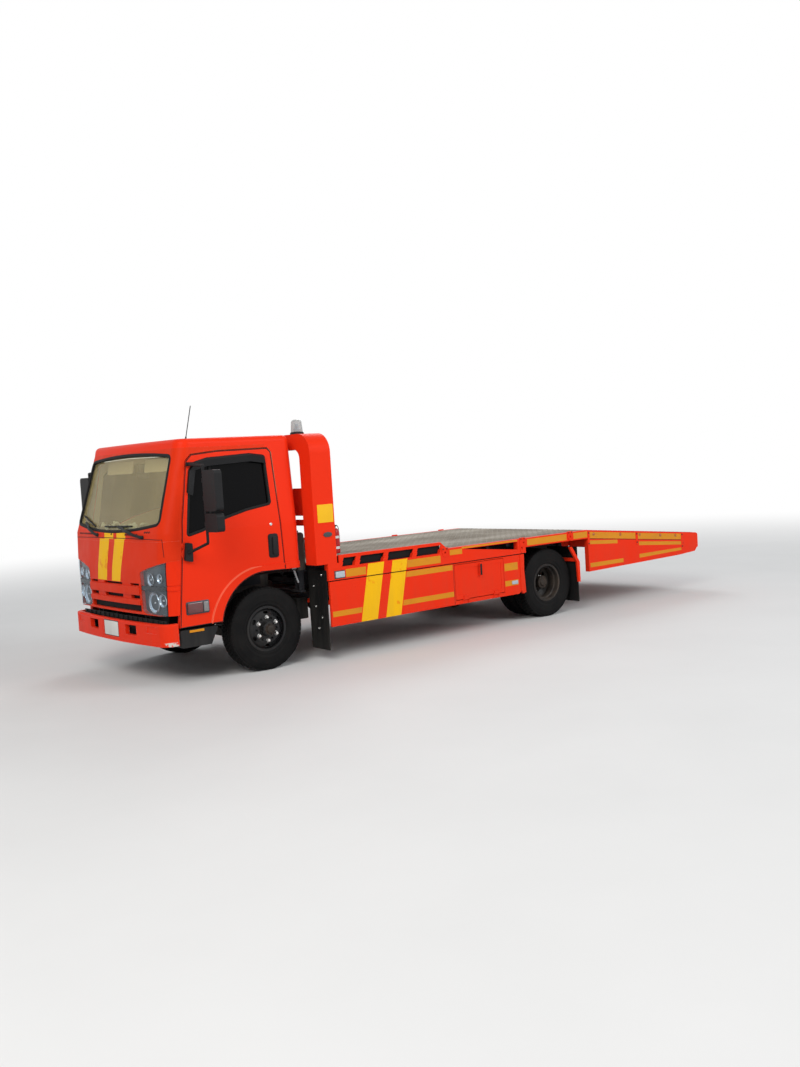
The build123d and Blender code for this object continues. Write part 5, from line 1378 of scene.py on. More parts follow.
class TRUCK_OT_arch_liners(Operator):
    """Dark liners inside the front wheel arches, with the stays behind them"""
    bl_idname = "truck.arch_liners"
    bl_label = "Wheel arch liners"

    def execute(self, context):
        both_sides(self.make)
        return {"FINISHED"}

    def make(self, word, sign):
        bm = bmesh.new()
        line = arc_through((0.505, 0.560), (0.362, 0.812), (0.070, 0.944), 14)
        line += [(-0.10, 0.944), (-0.28, 0.944), (-0.392, 0.944)]
        rows = []
        for y in (0.640, 0.800, 0.930, 0.944):
            drop = 0.0 if y < 0.94 else -0.016
            rows.append([bm.verts.new((fx(x), sign * y, z + drop)) for x, z in line])
        thick_sheet(bm, rows, 0.003)
        new_piece("arch_liner_" + word, bm, "flap", "cab", 40)
        bm = bmesh.new()
        tube(bm, [(fx(-0.335), sign * 0.930, 0.962), (fx(-0.392), sign * 0.930, 0.800)], 0.009, 12)
        block(bm, (fx(-0.372), sign * 0.930 - 0.012, 0.938), (fx(-0.320), sign * 0.930 + 0.012, 0.962), 0.003)
        new_piece("corner_strut_" + word, bm, "bar_grey", "cab")
        # Amber strip on the step
        bm = bmesh.new()
        ys = sorted((sign * 0.992, sign * 0.9975))
        block(bm, (fx(0.712), ys[0] - 0.001, 0.493), (fx(0.861), ys[1], 0.515), 0.002)
        new_piece("step_strip_" + word, bm, "tape", "cab")
        bm = bmesh.new()
        for z, x0, x1 in ((0.5215, 0.615, 0.925), (0.396, 0.680, 0.905)):
            for k in range(9):
                x = x0 + (x1 - x0) * (k + 0.5) / 9
                y0, y1 = sorted((sign * 0.800, sign * 0.950))
                block(bm, (fx(x) - 0.006, y0, z - 0.002), (fx(x) + 0.006, y1, z + 0.004), 0.002)
        new_piece("step_ribs_" + word, bm, "black", "cab")


class TRUCK_OT_headlamps(Operator):
    """Bowls, bulbs and dark surrounds behind the headlamp lenses"""
    bl_idname = "truck.headlamps"
    bl_label = "Headlamps"

    def execute(self, context):
        both_sides(self.make)
        return {"FINISHED"}

    def outer_faces(self, sign, z_low, z_high, out):
        """Outer faces of one lens between two heights, moved out along their normals."""
        bm = bmesh.new()
        bm.from_mesh(NODES["headlamps"].data)
        drop = []
        for face in bm.faces:
            mid, n = face.calc_center_median(), face.normal
            outward = n.x > 0.12 or n.y * sign > 0.5
            if mid.y * sign < 0 or not outward or abs(n.z) > 0.8 or not z_low < mid.z < z_high:
                drop.append(face)
        bmesh.ops.delete(bm, geom=drop, context="FACES")
        bmesh.ops.remove_doubles(bm, verts=bm.verts, dist=1e-5)
        bm.normal_update()
        for vert in bm.verts:
            vert.co += vert.normal * out
        return bm

    def make(self, word, sign):
        bm = self.outer_faces(sign, 0.6, 1.2, -0.034)
        new_piece("lamp_housing_" + word, bm, "lamp_grey", "cab", 40, "lamp_clear")
        bm = self.outer_faces(sign, 0.889, 0.927, -0.004)
        new_piece("lamp_band_" + word, bm, "gloss_black", "cab", 40)
        skin = Skin("headlamps")
        bm = bmesh.new()
        glow = bmesh.new()
        for y, z, r in ((0.700, 0.985, 0.052), (0.735, 0.775, 0.088), (0.880, 0.800, 0.055),
                        (0.855, 1.000, 0.040)):
            seat, normal = skin.front(sign * y, z)
            ahead = (normal + Vector((0.9, 0, 0))).normalized()
            base = seat - ahead * 0.008
            base.x -= 0.010
            turned(bm, [(0.0, r), (-0.004, r * 1.04), (-0.006, r), (-0.014, r * 0.86), (-0.022, r * 0.62),
                        (-0.027, r * 0.36), (-0.028, r * 0.16)], base, ahead, 40)
            turned(glow, [(-0.030, 0.010), (-0.012, 0.010), (-0.006, 0.007), (-0.004, 0.0)], base, ahead, 16)
            turned(glow, [(-0.004, r * 1.09 + 0.0015), (0.0, r * 1.09), (-0.004, r * 1.06)], base, ahead, 40,
                   closed=True)
        new_piece("lamp_bowls_" + word, bm, "reflector", "cab", 50)
        new_piece("lamp_bulbs_" + word, glow, "clear_lens", "cab", 40)


class TRUCK_OT_front_trim(Operator):
    """Wipers, lid seam, cowl slots, blank number plate and the dark panel behind the bumper"""
    bl_idname = "truck.front_trim"
    bl_label = "Front trim and wipers"

    def execute(self, context):
        skin = Skin("windscreen_frame", "front_panel")
        # Seam of the front lid, with the strip of cowl above it
        bm = bmesh.new()
        line = [skin.front(y, 1.352 + 0.010 * (1 - (y / 0.9) ** 2)) for y in np.linspace(-0.935, 0.935, 60)]
        bead(bm, line, round_section(0.006, 0.0012, 0.004), False)
        for side in (-1, 1):
            drop = [skin.front(side * (0.935 + 0.012 * t), 1.350 - 0.155 * t) for t in np.linspace(0, 1, 8)]
            bead(bm, drop, round_section(0.006, 0.0012, 0.004), False)
        for y0, y1, z in ((-0.80, -0.42, 1.392), (0.30, 0.56, 1.392), (0.66, 0.80, 1.415)):
            for k in range(int((y1 - y0) / 0.036)):
                y = y0 + 0.036 * k
                slot = [skin.front(y + d, z + d * 0.25) for d in (0.0, 0.012, 0.024)]
                if all(slot):
                    bead(bm, slot, round_section(0.016, 0.0010, 0.003), False)
        new_piece("cowl_slots", bm, "seal", "cab", 50)
        self.wipers(skin)
        self.plate()
        self.washer_jets(skin)
        return {"FINISHED"}

    def wipers(self, skin):
        """Two arms parked low on the glass, each with its blade."""
        glass = Skin("cab_glass", "windscreen_frame", "front_panel")
        for name, pivot, tip, low, high in (
            ("left", (0.640, 1.372), (0.120, 1.462), (-0.180, 1.462), (0.390, 1.468)),
            ("right", (-0.300, 1.386), (-0.700, 1.492), (-0.790, 1.560), (-0.420, 1.462)),
        ):
            bm = bmesh.new()
            foot, normal = skin.front(*pivot)
            turned(bm, [(-0.004, 0.019), (0.012, 0.018), (0.020, 0.013), (0.022, 0.0)], foot, normal, 24)
            hexagon(bm, foot + normal * 0.020, normal, 0.008, 0.008)
            arm = []
            for t in np.linspace(0, 1, 9):
                y, z = pivot[0] + (tip[0] - pivot[0]) * t, pivot[1] + (tip[1] - pivot[1]) * t
                seat, n = glass.front(y, z)
                arm.append((seat + n * (0.016 + 0.016 * math.sin(math.pi * min(1.0, t * 1.1))), n))
            width = round_section(0.026, 0.008, 0.006)
            bead(bm, arm, width, False)
            spine = []
            for t in np.linspace(0, 1, 15):
                y, z = low[0] + (high[0] - low[0]) * t, low[1] + (high[1] - low[1]) * t
                seat, n = glass.front(y, z)
                spine.append((seat + n * 0.0125, n))
            bead(bm, spine, round_section(0.014, 0.007, 0.006), False)
            bead(bm, [(p - n * 0.0055, n) for p, n in spine], round_section(0.004, 0.002, 0.005), False)
            for k in (2, 6, 8, 12):
                p, n = spine[k]
                block(bm, p - Vector((0.009, 0.013, 0.005)), p + Vector((0.009, 0.013, 0.007)), 0.003)
            new_piece("wiper_" + name, bm, "black", "cab")

    def plate(self):
        """Blank number plate with its holder, and a dark panel behind the bumper."""
        skin = Skin("bumper")
        face = skin.front(0.160, 0.50)[0].x
        bm = bmesh.new()
        outline_plate(bm, rectangle(-0.158, 0.158, 0.428, 0.577, 0.010),
                      face - 0.004, face + 0.0035, 0, 0.0015)
        new_piece("plate_holder", bm, "black", "chassis")
        bm = bmesh.new()
        outline_plate(bm, rectangle(-0.150, 0.150, 0.434, 0.571, 0.008),
                      face + 0.003, face + 0.0048, 0, 0.0008)
        spots = [(Vector((face + 0.0048, y, z)), Vector((1, 0, 0)))
                 for y, z in sampled(rectangle(-0.145, 0.145, 0.439, 0.566, 0.006), 0.02)]
        bead(bm, spots, round_section(0.003, 0.0008, 0.0005))
        for y in (-0.135, 0.135):
            turned(bm, [(-0.001, 0.006), (0.0015, 0.0055), (0.0025, 0.003), (0.0025, 0.0)],
                   (face + 0.0048, y, 0.5025), (1, 0, 0), 16)
        new_piece("number_plate", bm, "white", "chassis")
        bm = bmesh.new()
        block(bm, (fx(1.026), -0.900, 0.405), (fx(1.033), 0.900, 0.614), 0.003)
        for k in range(17):
            y = -0.84 + k * 0.105
            block(bm, (fx(1.032), y - 0.006, 0.415), (fx(1.041), y + 0.006, 0.610), 0.003)
        new_piece("bumper_backing", bm, "flap", "chassis")
        bm = bmesh.new()
        for z in (0.418, 0.566):
            for side in (-1, 1):
                spots = [skin.front(side * y, z) for y in np.linspace(0.20, 0.915, 30)]
                bead(bm, spots, round_section(0.006, 0.002, 0.003), False)
        new_piece("bumper_ribs", bm, "body", "chassis", 50)

    def washer_jets(self, skin):
        """Washer jets on the cowl."""
        bm = bmesh.new()
        for y in (-0.45, 0.02, 0.47):
            seat, n = skin.front(y, 1.398)
            turned(bm, [(-0.002, 0.009), (0.004, 0.0085), (0.008, 0.005), (0.0085, 0.0)], seat, n, 14)
        new_piece("washer_jets", bm, "black", "cab")


class TRUCK_OT_tapes(Operator):
    """Reflective tapes, side lamps and reflectors along the bed and its skirts"""
    bl_idname = "truck.tapes"
    bl_label = "Tapes and side lamps"

    def execute(self, context):
        both_sides(self.side)
        return {"FINISHED"}

    def strip(self, bm, sign, points, rise=None):
        """Flat tape of a four-cornered outline on the side."""
        thick = rise or sizes().tape_thickness
        side_plate(bm, [(fx(x), z) for x, z in points], sign, SIDE_Y - 0.0002, SIDE_Y + thick)

    def side(self, word, sign):
        def edge(z):
            """Rear edge of the rear stripe and front edge of the front one at a height."""
            lean = STRIPE_LEAN * (z - STRIPE_Z)
            return REAR_STRIPE[0] + lean, FRONT_STRIPE[1] + lean

        bed = bmesh.new()
        for x0, x1, z0, z1 in (
            (-0.812, None, 0.815, 0.893), (None, -2.068, 0.822, 0.900),
            (-2.205, -2.385, 0.888, 0.944), (-2.385, -3.240, 0.942, 0.960),
        ):
            x0 = edge(z0)[0] - 0.012 if x0 is None else x0
            x1 = edge(z0)[1] + 0.010 if x1 is None else x1
            if x1 < x0:
                self.strip(bed, sign, [(x0, z0), (x1, z0), (x1, z1), (x0, z1)])
        for x0, x1 in ((-3.400, -4.068), (-4.192, -4.440)):
            self.strip(bed, sign, [(x0, 0.878), (x1, 0.878), (x1, 0.950), (x0, 0.950)])
        # Tail: a strip along the top edge and converging bands below
        def top(x):
            return 0.952 - (0.955 - 0.735) * (-4.46 - x) / 2.175

        for x0, x1 in ((-4.475, -5.355), (-5.405, -6.300)):
            self.strip(bed, sign, [(x0, top(x0) - 0.010), (x1, top(x1) - 0.010),
                                   (x1, top(x1) - 0.098 + 0.012), (x0, top(x0) - 0.088)])
        for x0, x1, *zs in (
            (-4.475, -5.000, 0.835, 0.797, 0.752, 0.790), (-4.475, -5.100, 0.560, 0.555, 0.508, 0.508),
            (-5.420, -6.300, 0.735, 0.655, 0.612, 0.688), (-5.420, -6.300, 0.575, 0.575, 0.540, 0.528),
        ):
            self.strip(bed, sign, list(zip((x0, x1, x1, x0), zs)))
        new_piece("bed_tapes_" + word, bed, "tape", "bed", 0)

        skirt = bmesh.new()
        for z0, z1 in ((0.725, 0.782), (0.438, 0.492)):
            rear = edge(z0)[0]
            self.strip(skirt, sign, [(rear - 0.010, z0), (-2.232, z0), (-2.232, z1), (rear - 0.022, z1)])
        front = edge(0.438)[1]
        self.strip(skirt, sign, [(-0.625, 0.438), (front + 0.010, 0.438), (front - 0.002, 0.492),
                                 (-0.625, 0.492)])
        for z0, z1 in ((0.625, 0.708), (0.452, 0.512)):
            self.strip(skirt, sign, [(-3.015, z0), (-3.225, z0), (-3.225, z1), (-3.015, z1)])
        new_piece("skirt_tapes_" + word, skirt, "tape", "chassis", 0)

        # Side marker lamp ahead of the stripes and a white reflector at the rear
        bm = bmesh.new()
        self.strip(bm, sign, [(-0.672, 0.812), (-0.798, 0.812), (-0.798, 0.888), (-0.672, 0.888)], rise=0.004)
        new_piece("marker_base_" + word, bm, "grey", "bed")
        bm = bmesh.new()
        side_plate(bm, rectangle(fx(-0.680), fx(-0.790), 0.820, 0.880, 0.010), sign, 1.153, 1.166, 0.004)
        new_piece("marker_lens_" + word, bm, "pale_lens", "bed")
        bm = bmesh.new()
        side_plate(bm, rectangle(fx(-3.120), fx(-3.215), 0.462, 0.503, 0.006), sign, SIDE_Y, 1.157, 0.003)
        new_piece("rear_reflector_" + word, bm, "pale_lens", "chassis")
        # Seams, hinges and rivets of the skirt
        bm = bmesh.new()
        self.strip(bm, sign, [(-2.240, 0.350), (-2.244, 0.350), (-2.244, 0.786), (-2.240, 0.786)],
                   rise=0.0006)
        self.strip(bm, sign, [(-0.604, 0.7955), (-3.372, 0.7955), (-3.372, 0.7985), (-0.604, 0.7985)],
                   rise=0.0007)
        new_piece("skirt_seams_" + word, bm, "seal", "chassis", 0)
        rivets = bmesh.new()
        for z in (0.372, 0.709):
            one = bmesh.new()
            turned(one, RIVET, (0, 0, 0), (0, sign, 0), 12)
            row = line_tree(finish_of("side"))
            join(rivets, repeated(one, row, {"Copies": 12, "Step": (-0.132, 0, 0)},
                                  (fx(-0.660), sign * SIDE_Y, z)))
        new_piece("skirt_rivets_" + word, rivets, "side", "chassis", 30)


class TRUCK_OT_bed_trim(Operator):
    """Lamps, signs and brackets on the bed, the tail and the arch"""
    bl_idname = "truck.bed_trim"
    bl_label = "Bed lamps and signs"

    def execute(self, context):
        both_sides(self.dress)
        self.arch()
        return {"FINISHED"}

    def dress(self, word, sign):
        lamps, rims, hooks = bmesh.new(), bmesh.new(), bmesh.new()
        for x, z in ((-4.560, 0.905), (-5.060, 0.858), (-5.440, 0.822), (-5.860, 0.776), (-6.180, 0.742)):
            at = (fx(x), sign * 1.140, z)
            turned(lamps, [(0.000, 0.0170), (0.0075, 0.0168), (0.0105, 0.0125), (0.0118, 0.0060),
                           (0.0120, 0.0)], at, (0, sign, 0), 28)
            turned(rims, [(0.000, 0.0205), (0.0115, 0.0203), (0.0125, 0.0190), (0.0115, 0.0178),
                          (0.0060, 0.0172)], at, (0, sign, 0), 28)
        new_piece("tail_lamps_" + word, lamps, "red_lens", "bed")
        new_piece("tail_lamp_rims_" + word, rims, "black", "bed")
        # Gusset plates with bolts where the tail's sections meet
        plates = bmesh.new()
        for x, z0, z1 in ((-4.462, 0.770, 0.958), (-5.380, 0.700, 0.866), (-6.318, 0.560, 0.772)):
            gusset = rectangle(fx(x) - 0.020, fx(x) + 0.020, z0, z1, 0.008)
            side_plate(plates, gusset, sign, 1.1495, 1.1535, 0.0015)
            for z in (z0 + 0.030, z1 - 0.030):
                hexagon(hooks, (fx(x), sign * 1.1530, z), (0, sign, 0), 0.0090, 0.007)
        for x, z in ((-2.135, 0.925), (-3.338, 0.920), (-3.302, 0.862), (-4.130, 0.915)):
            turned(plates, [(-0.002, 0.0165), (0.0025, 0.0160), (0.0030, 0.0120), (-0.004, 0.0112)],
                   (fx(x), sign * 1.156, z), (0, sign, 0), 28, closed=True)
        for x, z in ((-2.135, 0.963), (-3.320, 0.962), (-4.130, 0.962)):
            for off in (-0.026, 0.026):
                hexagon(hooks, (fx(x + off), sign * 1.1555, z), (0, sign, 0), 0.0080, 0.006)
        new_piece("tail_plates_" + word, plates, "arch", "bed", 30)
        # Painted shade: a dark strip behind the rail's slots, standing in for the shadow seen through them
        strip = bmesh.new()
        ys = sorted((sign * 1.1060, sign * 1.1095))
        block(strip, (fx(-2.095), ys[0], 0.9225), (fx(-0.730), ys[1], 1.030), 0.001)
        new_piece("rail_slot_shade_" + word, strip, "deep_black", "bed", 30)
        new_piece("bed_bolts_" + word, hooks, "hub", "bed", 30)
        # Sign and oval reflector on the arch, and the dark lines on the tail
        sign_plate = bmesh.new()
        board = rectangle(fx(-0.516), fx(-0.702), 1.374, 1.551, 0.006)
        side_plate(sign_plate, board, sign, SIDE_Y, 1.1525, 0.0008)
        new_piece("arch_sign_" + word, sign_plate, "yellow", "bed", 30)
        angles = np.linspace(0, 2 * math.pi, 33)[:-1]
        oval = [(fx(-0.621) + 0.052 * math.cos(a), 1.255 + 0.025 * math.sin(a)) for a in angles]
        bm = bmesh.new()
        side_plate(bm, oval, sign, SIDE_Y, 1.158, 0.003)
        new_piece("arch_reflector_" + word, bm, "grey", "bed", 35, "lamp_clear")
        zig = bmesh.new()
        path = [(-6.322, 0.748), (-6.338, 0.700), (-6.318, 0.660), (-6.345, 0.630), (-6.322, 0.600)]
        spots = [(Vector((fx(x), sign * SIDE_Y, z)), Vector((0, sign, 0))) for x, z in path]
        bead(zig, spots, round_section(0.010, 0.0010, 0.0005), False)
        strip = [(Vector((fx(x), sign * SIDE_Y, 0.952 - 0.2145 * (-4.46 - x) / 2.175 - 0.094)),
                  Vector((0, sign, 0)))
                 for x in np.linspace(-4.48, -6.31, 24)]
        bead(zig, strip, round_section(0.007, 0.0010, 0.0005), False)
        new_piece("tail_lines_" + word, zig, "seal", "bed", 0)

    def arch(self):
        """Beacon and bolts on the arch."""
        x, y = fx(-0.592), 0.780
        bm = bmesh.new()
        turned(bm, [(0.0, 0.0), (0.0, 0.0690), (0.014, 0.0690), (0.022, 0.0640), (0.026, 0.0600),
                    (0.030, 0.0)], (x, y, ARCH_TOP), (0, 0, 1), 40)
        new_piece("beacon_base", bm, "black", "bed")
        bm = bmesh.new()
        dome = [(0.026, 0.0590)]
        for k in range(9):
            z = 0.030 + 0.010 * k
            dome += [(z, 0.0590 - 0.0008 * k), (z + 0.005, 0.0604 - 0.0008 * k)]
        dome += [(0.128, 0.0520), (0.140, 0.0440), (0.148, 0.0280), (0.1505, 0.0)]
        turned(bm, dome, (x, y, ARCH_TOP), (0, 0, 1), 40)
        dome_piece = new_piece("beacon_dome", bm, "beacon_clear", "bed", 45)
        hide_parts("beacon")
        bm = bmesh.new()
        turned(bm, [(0.030, 0.030), (0.060, 0.030), (0.066, 0.018), (0.105, 0.016), (0.112, 0.0)],
               (x, y, ARCH_TOP), (0, 0, 1), 24)
        new_piece("beacon_lamp", bm, "reflector", "bed")
        bm = bmesh.new()
        for y in (-0.60, 0.0, 0.60):
            for z in (1.475, 1.680):
                hexagon(bm, (fx(-0.5895), y, z), (1, 0, 0), 0.009, 0.007)
                hexagon(bm, (fx(-0.6205), y, z), (-1, 0, 0), 0.009, 0.007)
        new_piece("arch_bolts", bm, "hub", "bed", 30)


class TRUCK_OT_deck_plates(Operator):
    """Raised chequer bars over the deck and the sloping tail"""
    bl_idname = "truck.deck_plates"
    bl_label = "Chequer plate"

    def execute(self, context):
        def bar():
            """One raised bar with tapering ends."""
            bm = bmesh.new()
            base = [bm.verts.new(p) for p in ((-0.0130, -0.0030, 0), (0.0130, -0.0030, 0),
                                              (0.0130, 0.0030, 0), (-0.0130, 0.0030, 0))]
            top = [bm.verts.new(p) for p in ((-0.0085, 0, 0.0017), (0.0085, 0, 0.0017))]
            bm.faces.new((base[0], base[1], top[1], top[0]))
            bm.faces.new((base[2], base[3], top[0], top[1]))
            bm.faces.new((base[1], base[2], top[1]))
            bm.faces.new((base[3], base[0], top[0]))
            return bm

        pitch = sizes().chequer_pitch
        for name, x0, x1 in (("flat", -0.735, -4.455), ("tail", -4.470, -6.640)):
            length, width = x0 - x1, 2.12
            slope = 0.0 if name == "flat" else math.atan2(TAIL_DROP, TAIL_RUN)
            run = length / math.cos(slope)
            rows, columns = int(run / pitch), int(width / pitch)
            bm = repeated(bar(), grid_tree(finish_of("deck_bars")),
                          {"Length": run - pitch, "Width": width, "Rows": rows, "Columns": columns,
                           "Lean": math.radians(45)})
            turn = Matrix.Rotation(-slope, 4, "Y")
            bmesh.ops.transform(bm, matrix=turn, verts=bm.verts)
            drop = 0.0 if name == "flat" else TAIL_DROP * ((TAIL_START - (x0 + x1) / 2) / TAIL_RUN)
            z_mid = DECK_TOP - drop
            shift(bm, (fx((x0 + x1) / 2), 0, z_mid - 0.0002))
            self.seat(bm)
            new_piece("chequer_bars_" + name, bm, "deck_bars", "bed", 0)
        return {"FINISHED"}

    def seat(self, bm):
        """Set every bar on the deck's real surface and drop those with none under them."""
        deck = Skin("deck_plate")
        taken = Skin("winch", "gantry_arch", "side_beams")
        gone = []
        for verts in loose_parts(bm):
            mid = sum((v.co for v in verts), Vector()) / len(verts)
            hit = deck.seen((mid.x, mid.y, 3.0), (0, 0, -1))
            over = taken.seen((mid.x, mid.y, 3.0), (0, 0, -1))
            if hit is None or (over and over[0].z > hit[0].z + 0.01):
                gone += verts
                continue
            for v in verts:
                v.co.z += hit[0].z - mid.z + 0.0004
        bmesh.ops.delete(bm, geom=gone, context="VERTS")


def loose_parts(bm):
    """Lists of vertices that hang together."""
    seen = set()
    parts = []
    for start in bm.verts:
        if start in seen:
            continue
        seen.add(start)
        stack, part = [start], []
        while stack:
            v = stack.pop()
            part.append(v)
            for e in v.link_edges:
                w = e.other_vert(v)
                if w not in seen:
                    seen.add(w)
                    stack.append(w)
        parts.append(part)
    return parts


class TRUCK_OT_extinguisher(Operator):
    """Fire extinguisher with its valve, hose and strap"""
    bl_idname = "truck.extinguisher"
    bl_label = "Fire extinguisher"

    def execute(self, context):
        x, y = fx(-0.777), 1.045
        bm = bmesh.new()
        profile = [(1.052, 0.0), (1.052, 0.0440), (1.056, 0.0495), (1.062, 0.0518), (1.150, 0.0520),
                   (1.252, 0.0520)]
        profile += [(1.252 + 0.052 * math.sin(a),
                     0.0520 - 0.0360 * (1 - math.cos(a))) for a in np.linspace(0.15, math.pi / 2, 8)]
        profile += [(1.312, 0.0150), (1.314, 0.0)]
        turned(bm, profile, (x, y, 0), (0, 0, 1), 48)
        bottle = new_piece("bottle", bm, "red", "bed", 40)
        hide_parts("extinguisher")
        bm = bmesh.new()
        turned(bm, [(1.308, 0.0), (1.308, 0.0190), (1.330, 0.0180), (1.336, 0.0130), (1.3385, 0.0)],
               (x, y, 0), (0, 0, 1), 24)
        tube(bm, [(x, y, 1.325), (x - 0.034, y, 1.327)], 0.0070, 12)
        block(bm, (x - 0.010, y - 0.010, 1.336), (x + 0.050, y + 0.010, 1.341), 0.002)
        block(bm, (x - 0.008, y - 0.010, 1.345), (x + 0.046, y + 0.010, 1.3495), 0.002)
        block(bm, (x - 0.010, y - 0.008, 1.334), (x - 0.002, y + 0.008, 1.349), 0.002)
        hose = rounded_path([(x - 0.033, y, 1.327), (x - 0.052, y, 1.318), (x - 0.0555, y + 0.004, 1.250),
                             (x - 0.0555, y + 0.004, 1.130)], 0.03, 6)
        tube(bm, hose, 0.0035, 10)
        turned(bm, [(0.0, 0.0035), (-0.010, 0.0058), (-0.045, 0.0052)], (x - 0.0555, y + 0.004, 1.135),
               (0, 0, 1), 14, closed=True)
        new_piece("bottle_valve", bm, "black", "bed")
        bm = bmesh.new()
        for z in (1.110, 1.215):
            turned(bm, [(z - 0.012, 0.0521), (z - 0.012, 0.0538), (z + 0.012, 0.0538), (z + 0.012, 0.0521)],
                   (x, y, 0), (0, 0, 1), 48, closed=True)
            block(bm, (x + 0.046, y - 0.012, z - 0.012), (x + 0.0618, y + 0.012, z + 0.012), 0.002)
        new_piece("bottle_straps", bm, "steel", "bed")
        return {"FINISHED"}


# How far a pad swells from its starting block
SWELL = 0.013
# Each row: name, y, width and underside
SEATS = (("driver", 0.560, 0.490, 1.0105), ("middle", 0.0, 0.520, 1.0905),
         ("passenger", -0.560, 0.490, 1.0105))


def cushion_form(profile, half, shrink):
    """Closed block of a side outline (x, z), a little smaller than its final size."""
    bm = bmesh.new()
    mid = Vector((sum(p[0] for p in profile) / len(profile), sum(p[1] for p in profile) / len(profile)))
    inner = []
    for x, z in profile:
        out = Vector((x, z)) - mid
        inner.append((x - math.copysign(min(shrink, abs(out.x)), out.x),
                      z - math.copysign(min(shrink, abs(out.y)), out.y)))
    outline_plate(bm, round_corners(inner, 0.035, 4), -half + shrink, half - shrink, 1, 0.022)
    return bm


# Grid and frames of the pads' simulation, and the channels sewn into them
PAD_GRID, PAD_FRAMES = 0.012, 20
SEAM_DEPTH, SEAM_WIDTH = 0.007, 0.013


def puffed(name, bm, cap):
    """Swell a block into a stuffed pad with a cloth simulation and return its mesh."""
    mesh = bpy.data.meshes.new(name)
    bm.to_mesh(mesh)
    bm.free()
    scene = bpy.context.scene
    holder = bpy.data.objects.new(name, mesh)
    scene.collection.objects.link(holder)

    def baked(modified):
        made = bpy.data.meshes.new_from_object(modified.evaluated_get(bpy.context.evaluated_depsgraph_get()))
        modified.modifiers.clear()
        old, modified.data = modified.data, made
        bpy.data.meshes.remove(old)

    grid = holder.modifiers.new("Grid", "REMESH")
    grid.mode = "VOXEL"
    grid.voxel_size = PAD_GRID
    baked(holder)
    before = [v.co.copy() for v in holder.data.vertices]
    cloth_run = holder.modifiers.new("Cloth", "CLOTH")
    cloth_run.settings.use_pressure = True
    cloth_run.settings.uniform_pressure_force = 4.0
    cloth_run.settings.effector_weights.gravity = 0.0
    cloth_run.settings.quality = 4
    cloth_run.point_cache.frame_end = PAD_FRAMES
    for number in range(1, PAD_FRAMES + 1):
        scene.frame_set(number)
    baked(holder)
    scene.frame_set(1)
    for vert, start in zip(holder.data.vertices, before):
        move = vert.co - start
        if move.length > cap:
            vert.co = start + move.normalized() * cap
    mesh = holder.data
    bpy.data.objects.remove(holder)
    return mesh


def sewn(mesh, lines):
    """Press sewn channels into a pad: each line is (axis, value)."""
    for vert in mesh.vertices:
        pull = 0.0
        for axis, value in lines:
            pull += math.exp(-((vert.co[axis] - value) / SEAM_WIDTH) ** 2)
        vert.co -= vert.normal * SEAM_DEPTH * min(1.0, pull)


class TRUCK_OT_seats(Operator):
    """Stuffed seats with sewn channels and piping"""
    bl_idname = "truck.seats"
    bl_label = "Seats"

    def execute(self, context):
        made = {}
        for name, y, width, base in SEATS:
            half = width / 2 - 0.008
            key = (width, base)
            if key not in made:
                cushion = ((fx(-0.220), base), (fx(0.330), base), (fx(0.350), 1.215), (fx(-0.220), 1.190))
                seat = puffed("pad", cushion_form(cushion, half, SWELL), SWELL)
                low = base + 0.001
                for vert in seat.vertices:
                    vert.co.z = max(vert.co.z, low)
                sewn(seat, ((1, -half * 0.55), (1, half * 0.55), (0, fx(0.235))))
                back = ((fx(-0.200), 1.186), (fx(-0.110), 1.196), (fx(-0.200), 1.800), (fx(-0.280), 1.800))
                rest = puffed("pad", cushion_form(back, half - 0.010, SWELL), SWELL)
                sewn(rest, ((1, -half * 0.50), (1, half * 0.50), (2, 1.600), (2, 1.340)))
                made[key] = (seat, rest)
            for kind, mesh in zip(("cushion", "back"), made[key]):
                bm = bmesh.new()
                bm.from_mesh(mesh)
                shift(bm, (0, y, 0))
                piece = new_piece("seat_%s_%s" % (kind, name), bm, "cloth", "cab", 180)
                smooth = piece.modifiers.new("Smooth", "SUBSURF")
                smooth.levels = smooth.render_levels = 1
                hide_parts("seats")
            self.piping(name, y, half)
        return {"FINISHED"}

    def piping(self, name, y, half):
        """Piping round the cushion's upper edge, and the belt buckle beside it."""
        bm = bmesh.new()
        reach = half - 0.006
        loop = rectangle(fx(-0.205), fx(0.338), y - reach, y + reach, 0.045)
        path = [(x, yy, 1.186 + 0.025 * (x - fx(-0.220)) / 0.570) for x, yy in loop]
        tube(bm, path + path[:1], 0.0035, 8, ends=False)
        new_piece("seat_piping_" + name, bm, "grey", "cab", 60, "seat_fabric")
        bm = bmesh.new()
        inside = -1 if y > 0 else 1
        foot = Vector((fx(-0.150), y + inside * (half + 0.018), 1.020))
        tube(bm, [foot, foot + Vector((0.010, 0, 0.165))], 0.0060, 10)
        block(bm, foot + Vector((-0.014, -0.011, 0.160)), foot + Vector((0.034, 0.011, 0.225)), 0.005)
        new_piece("belt_buckle_" + name, bm, "black", "cab", 40)


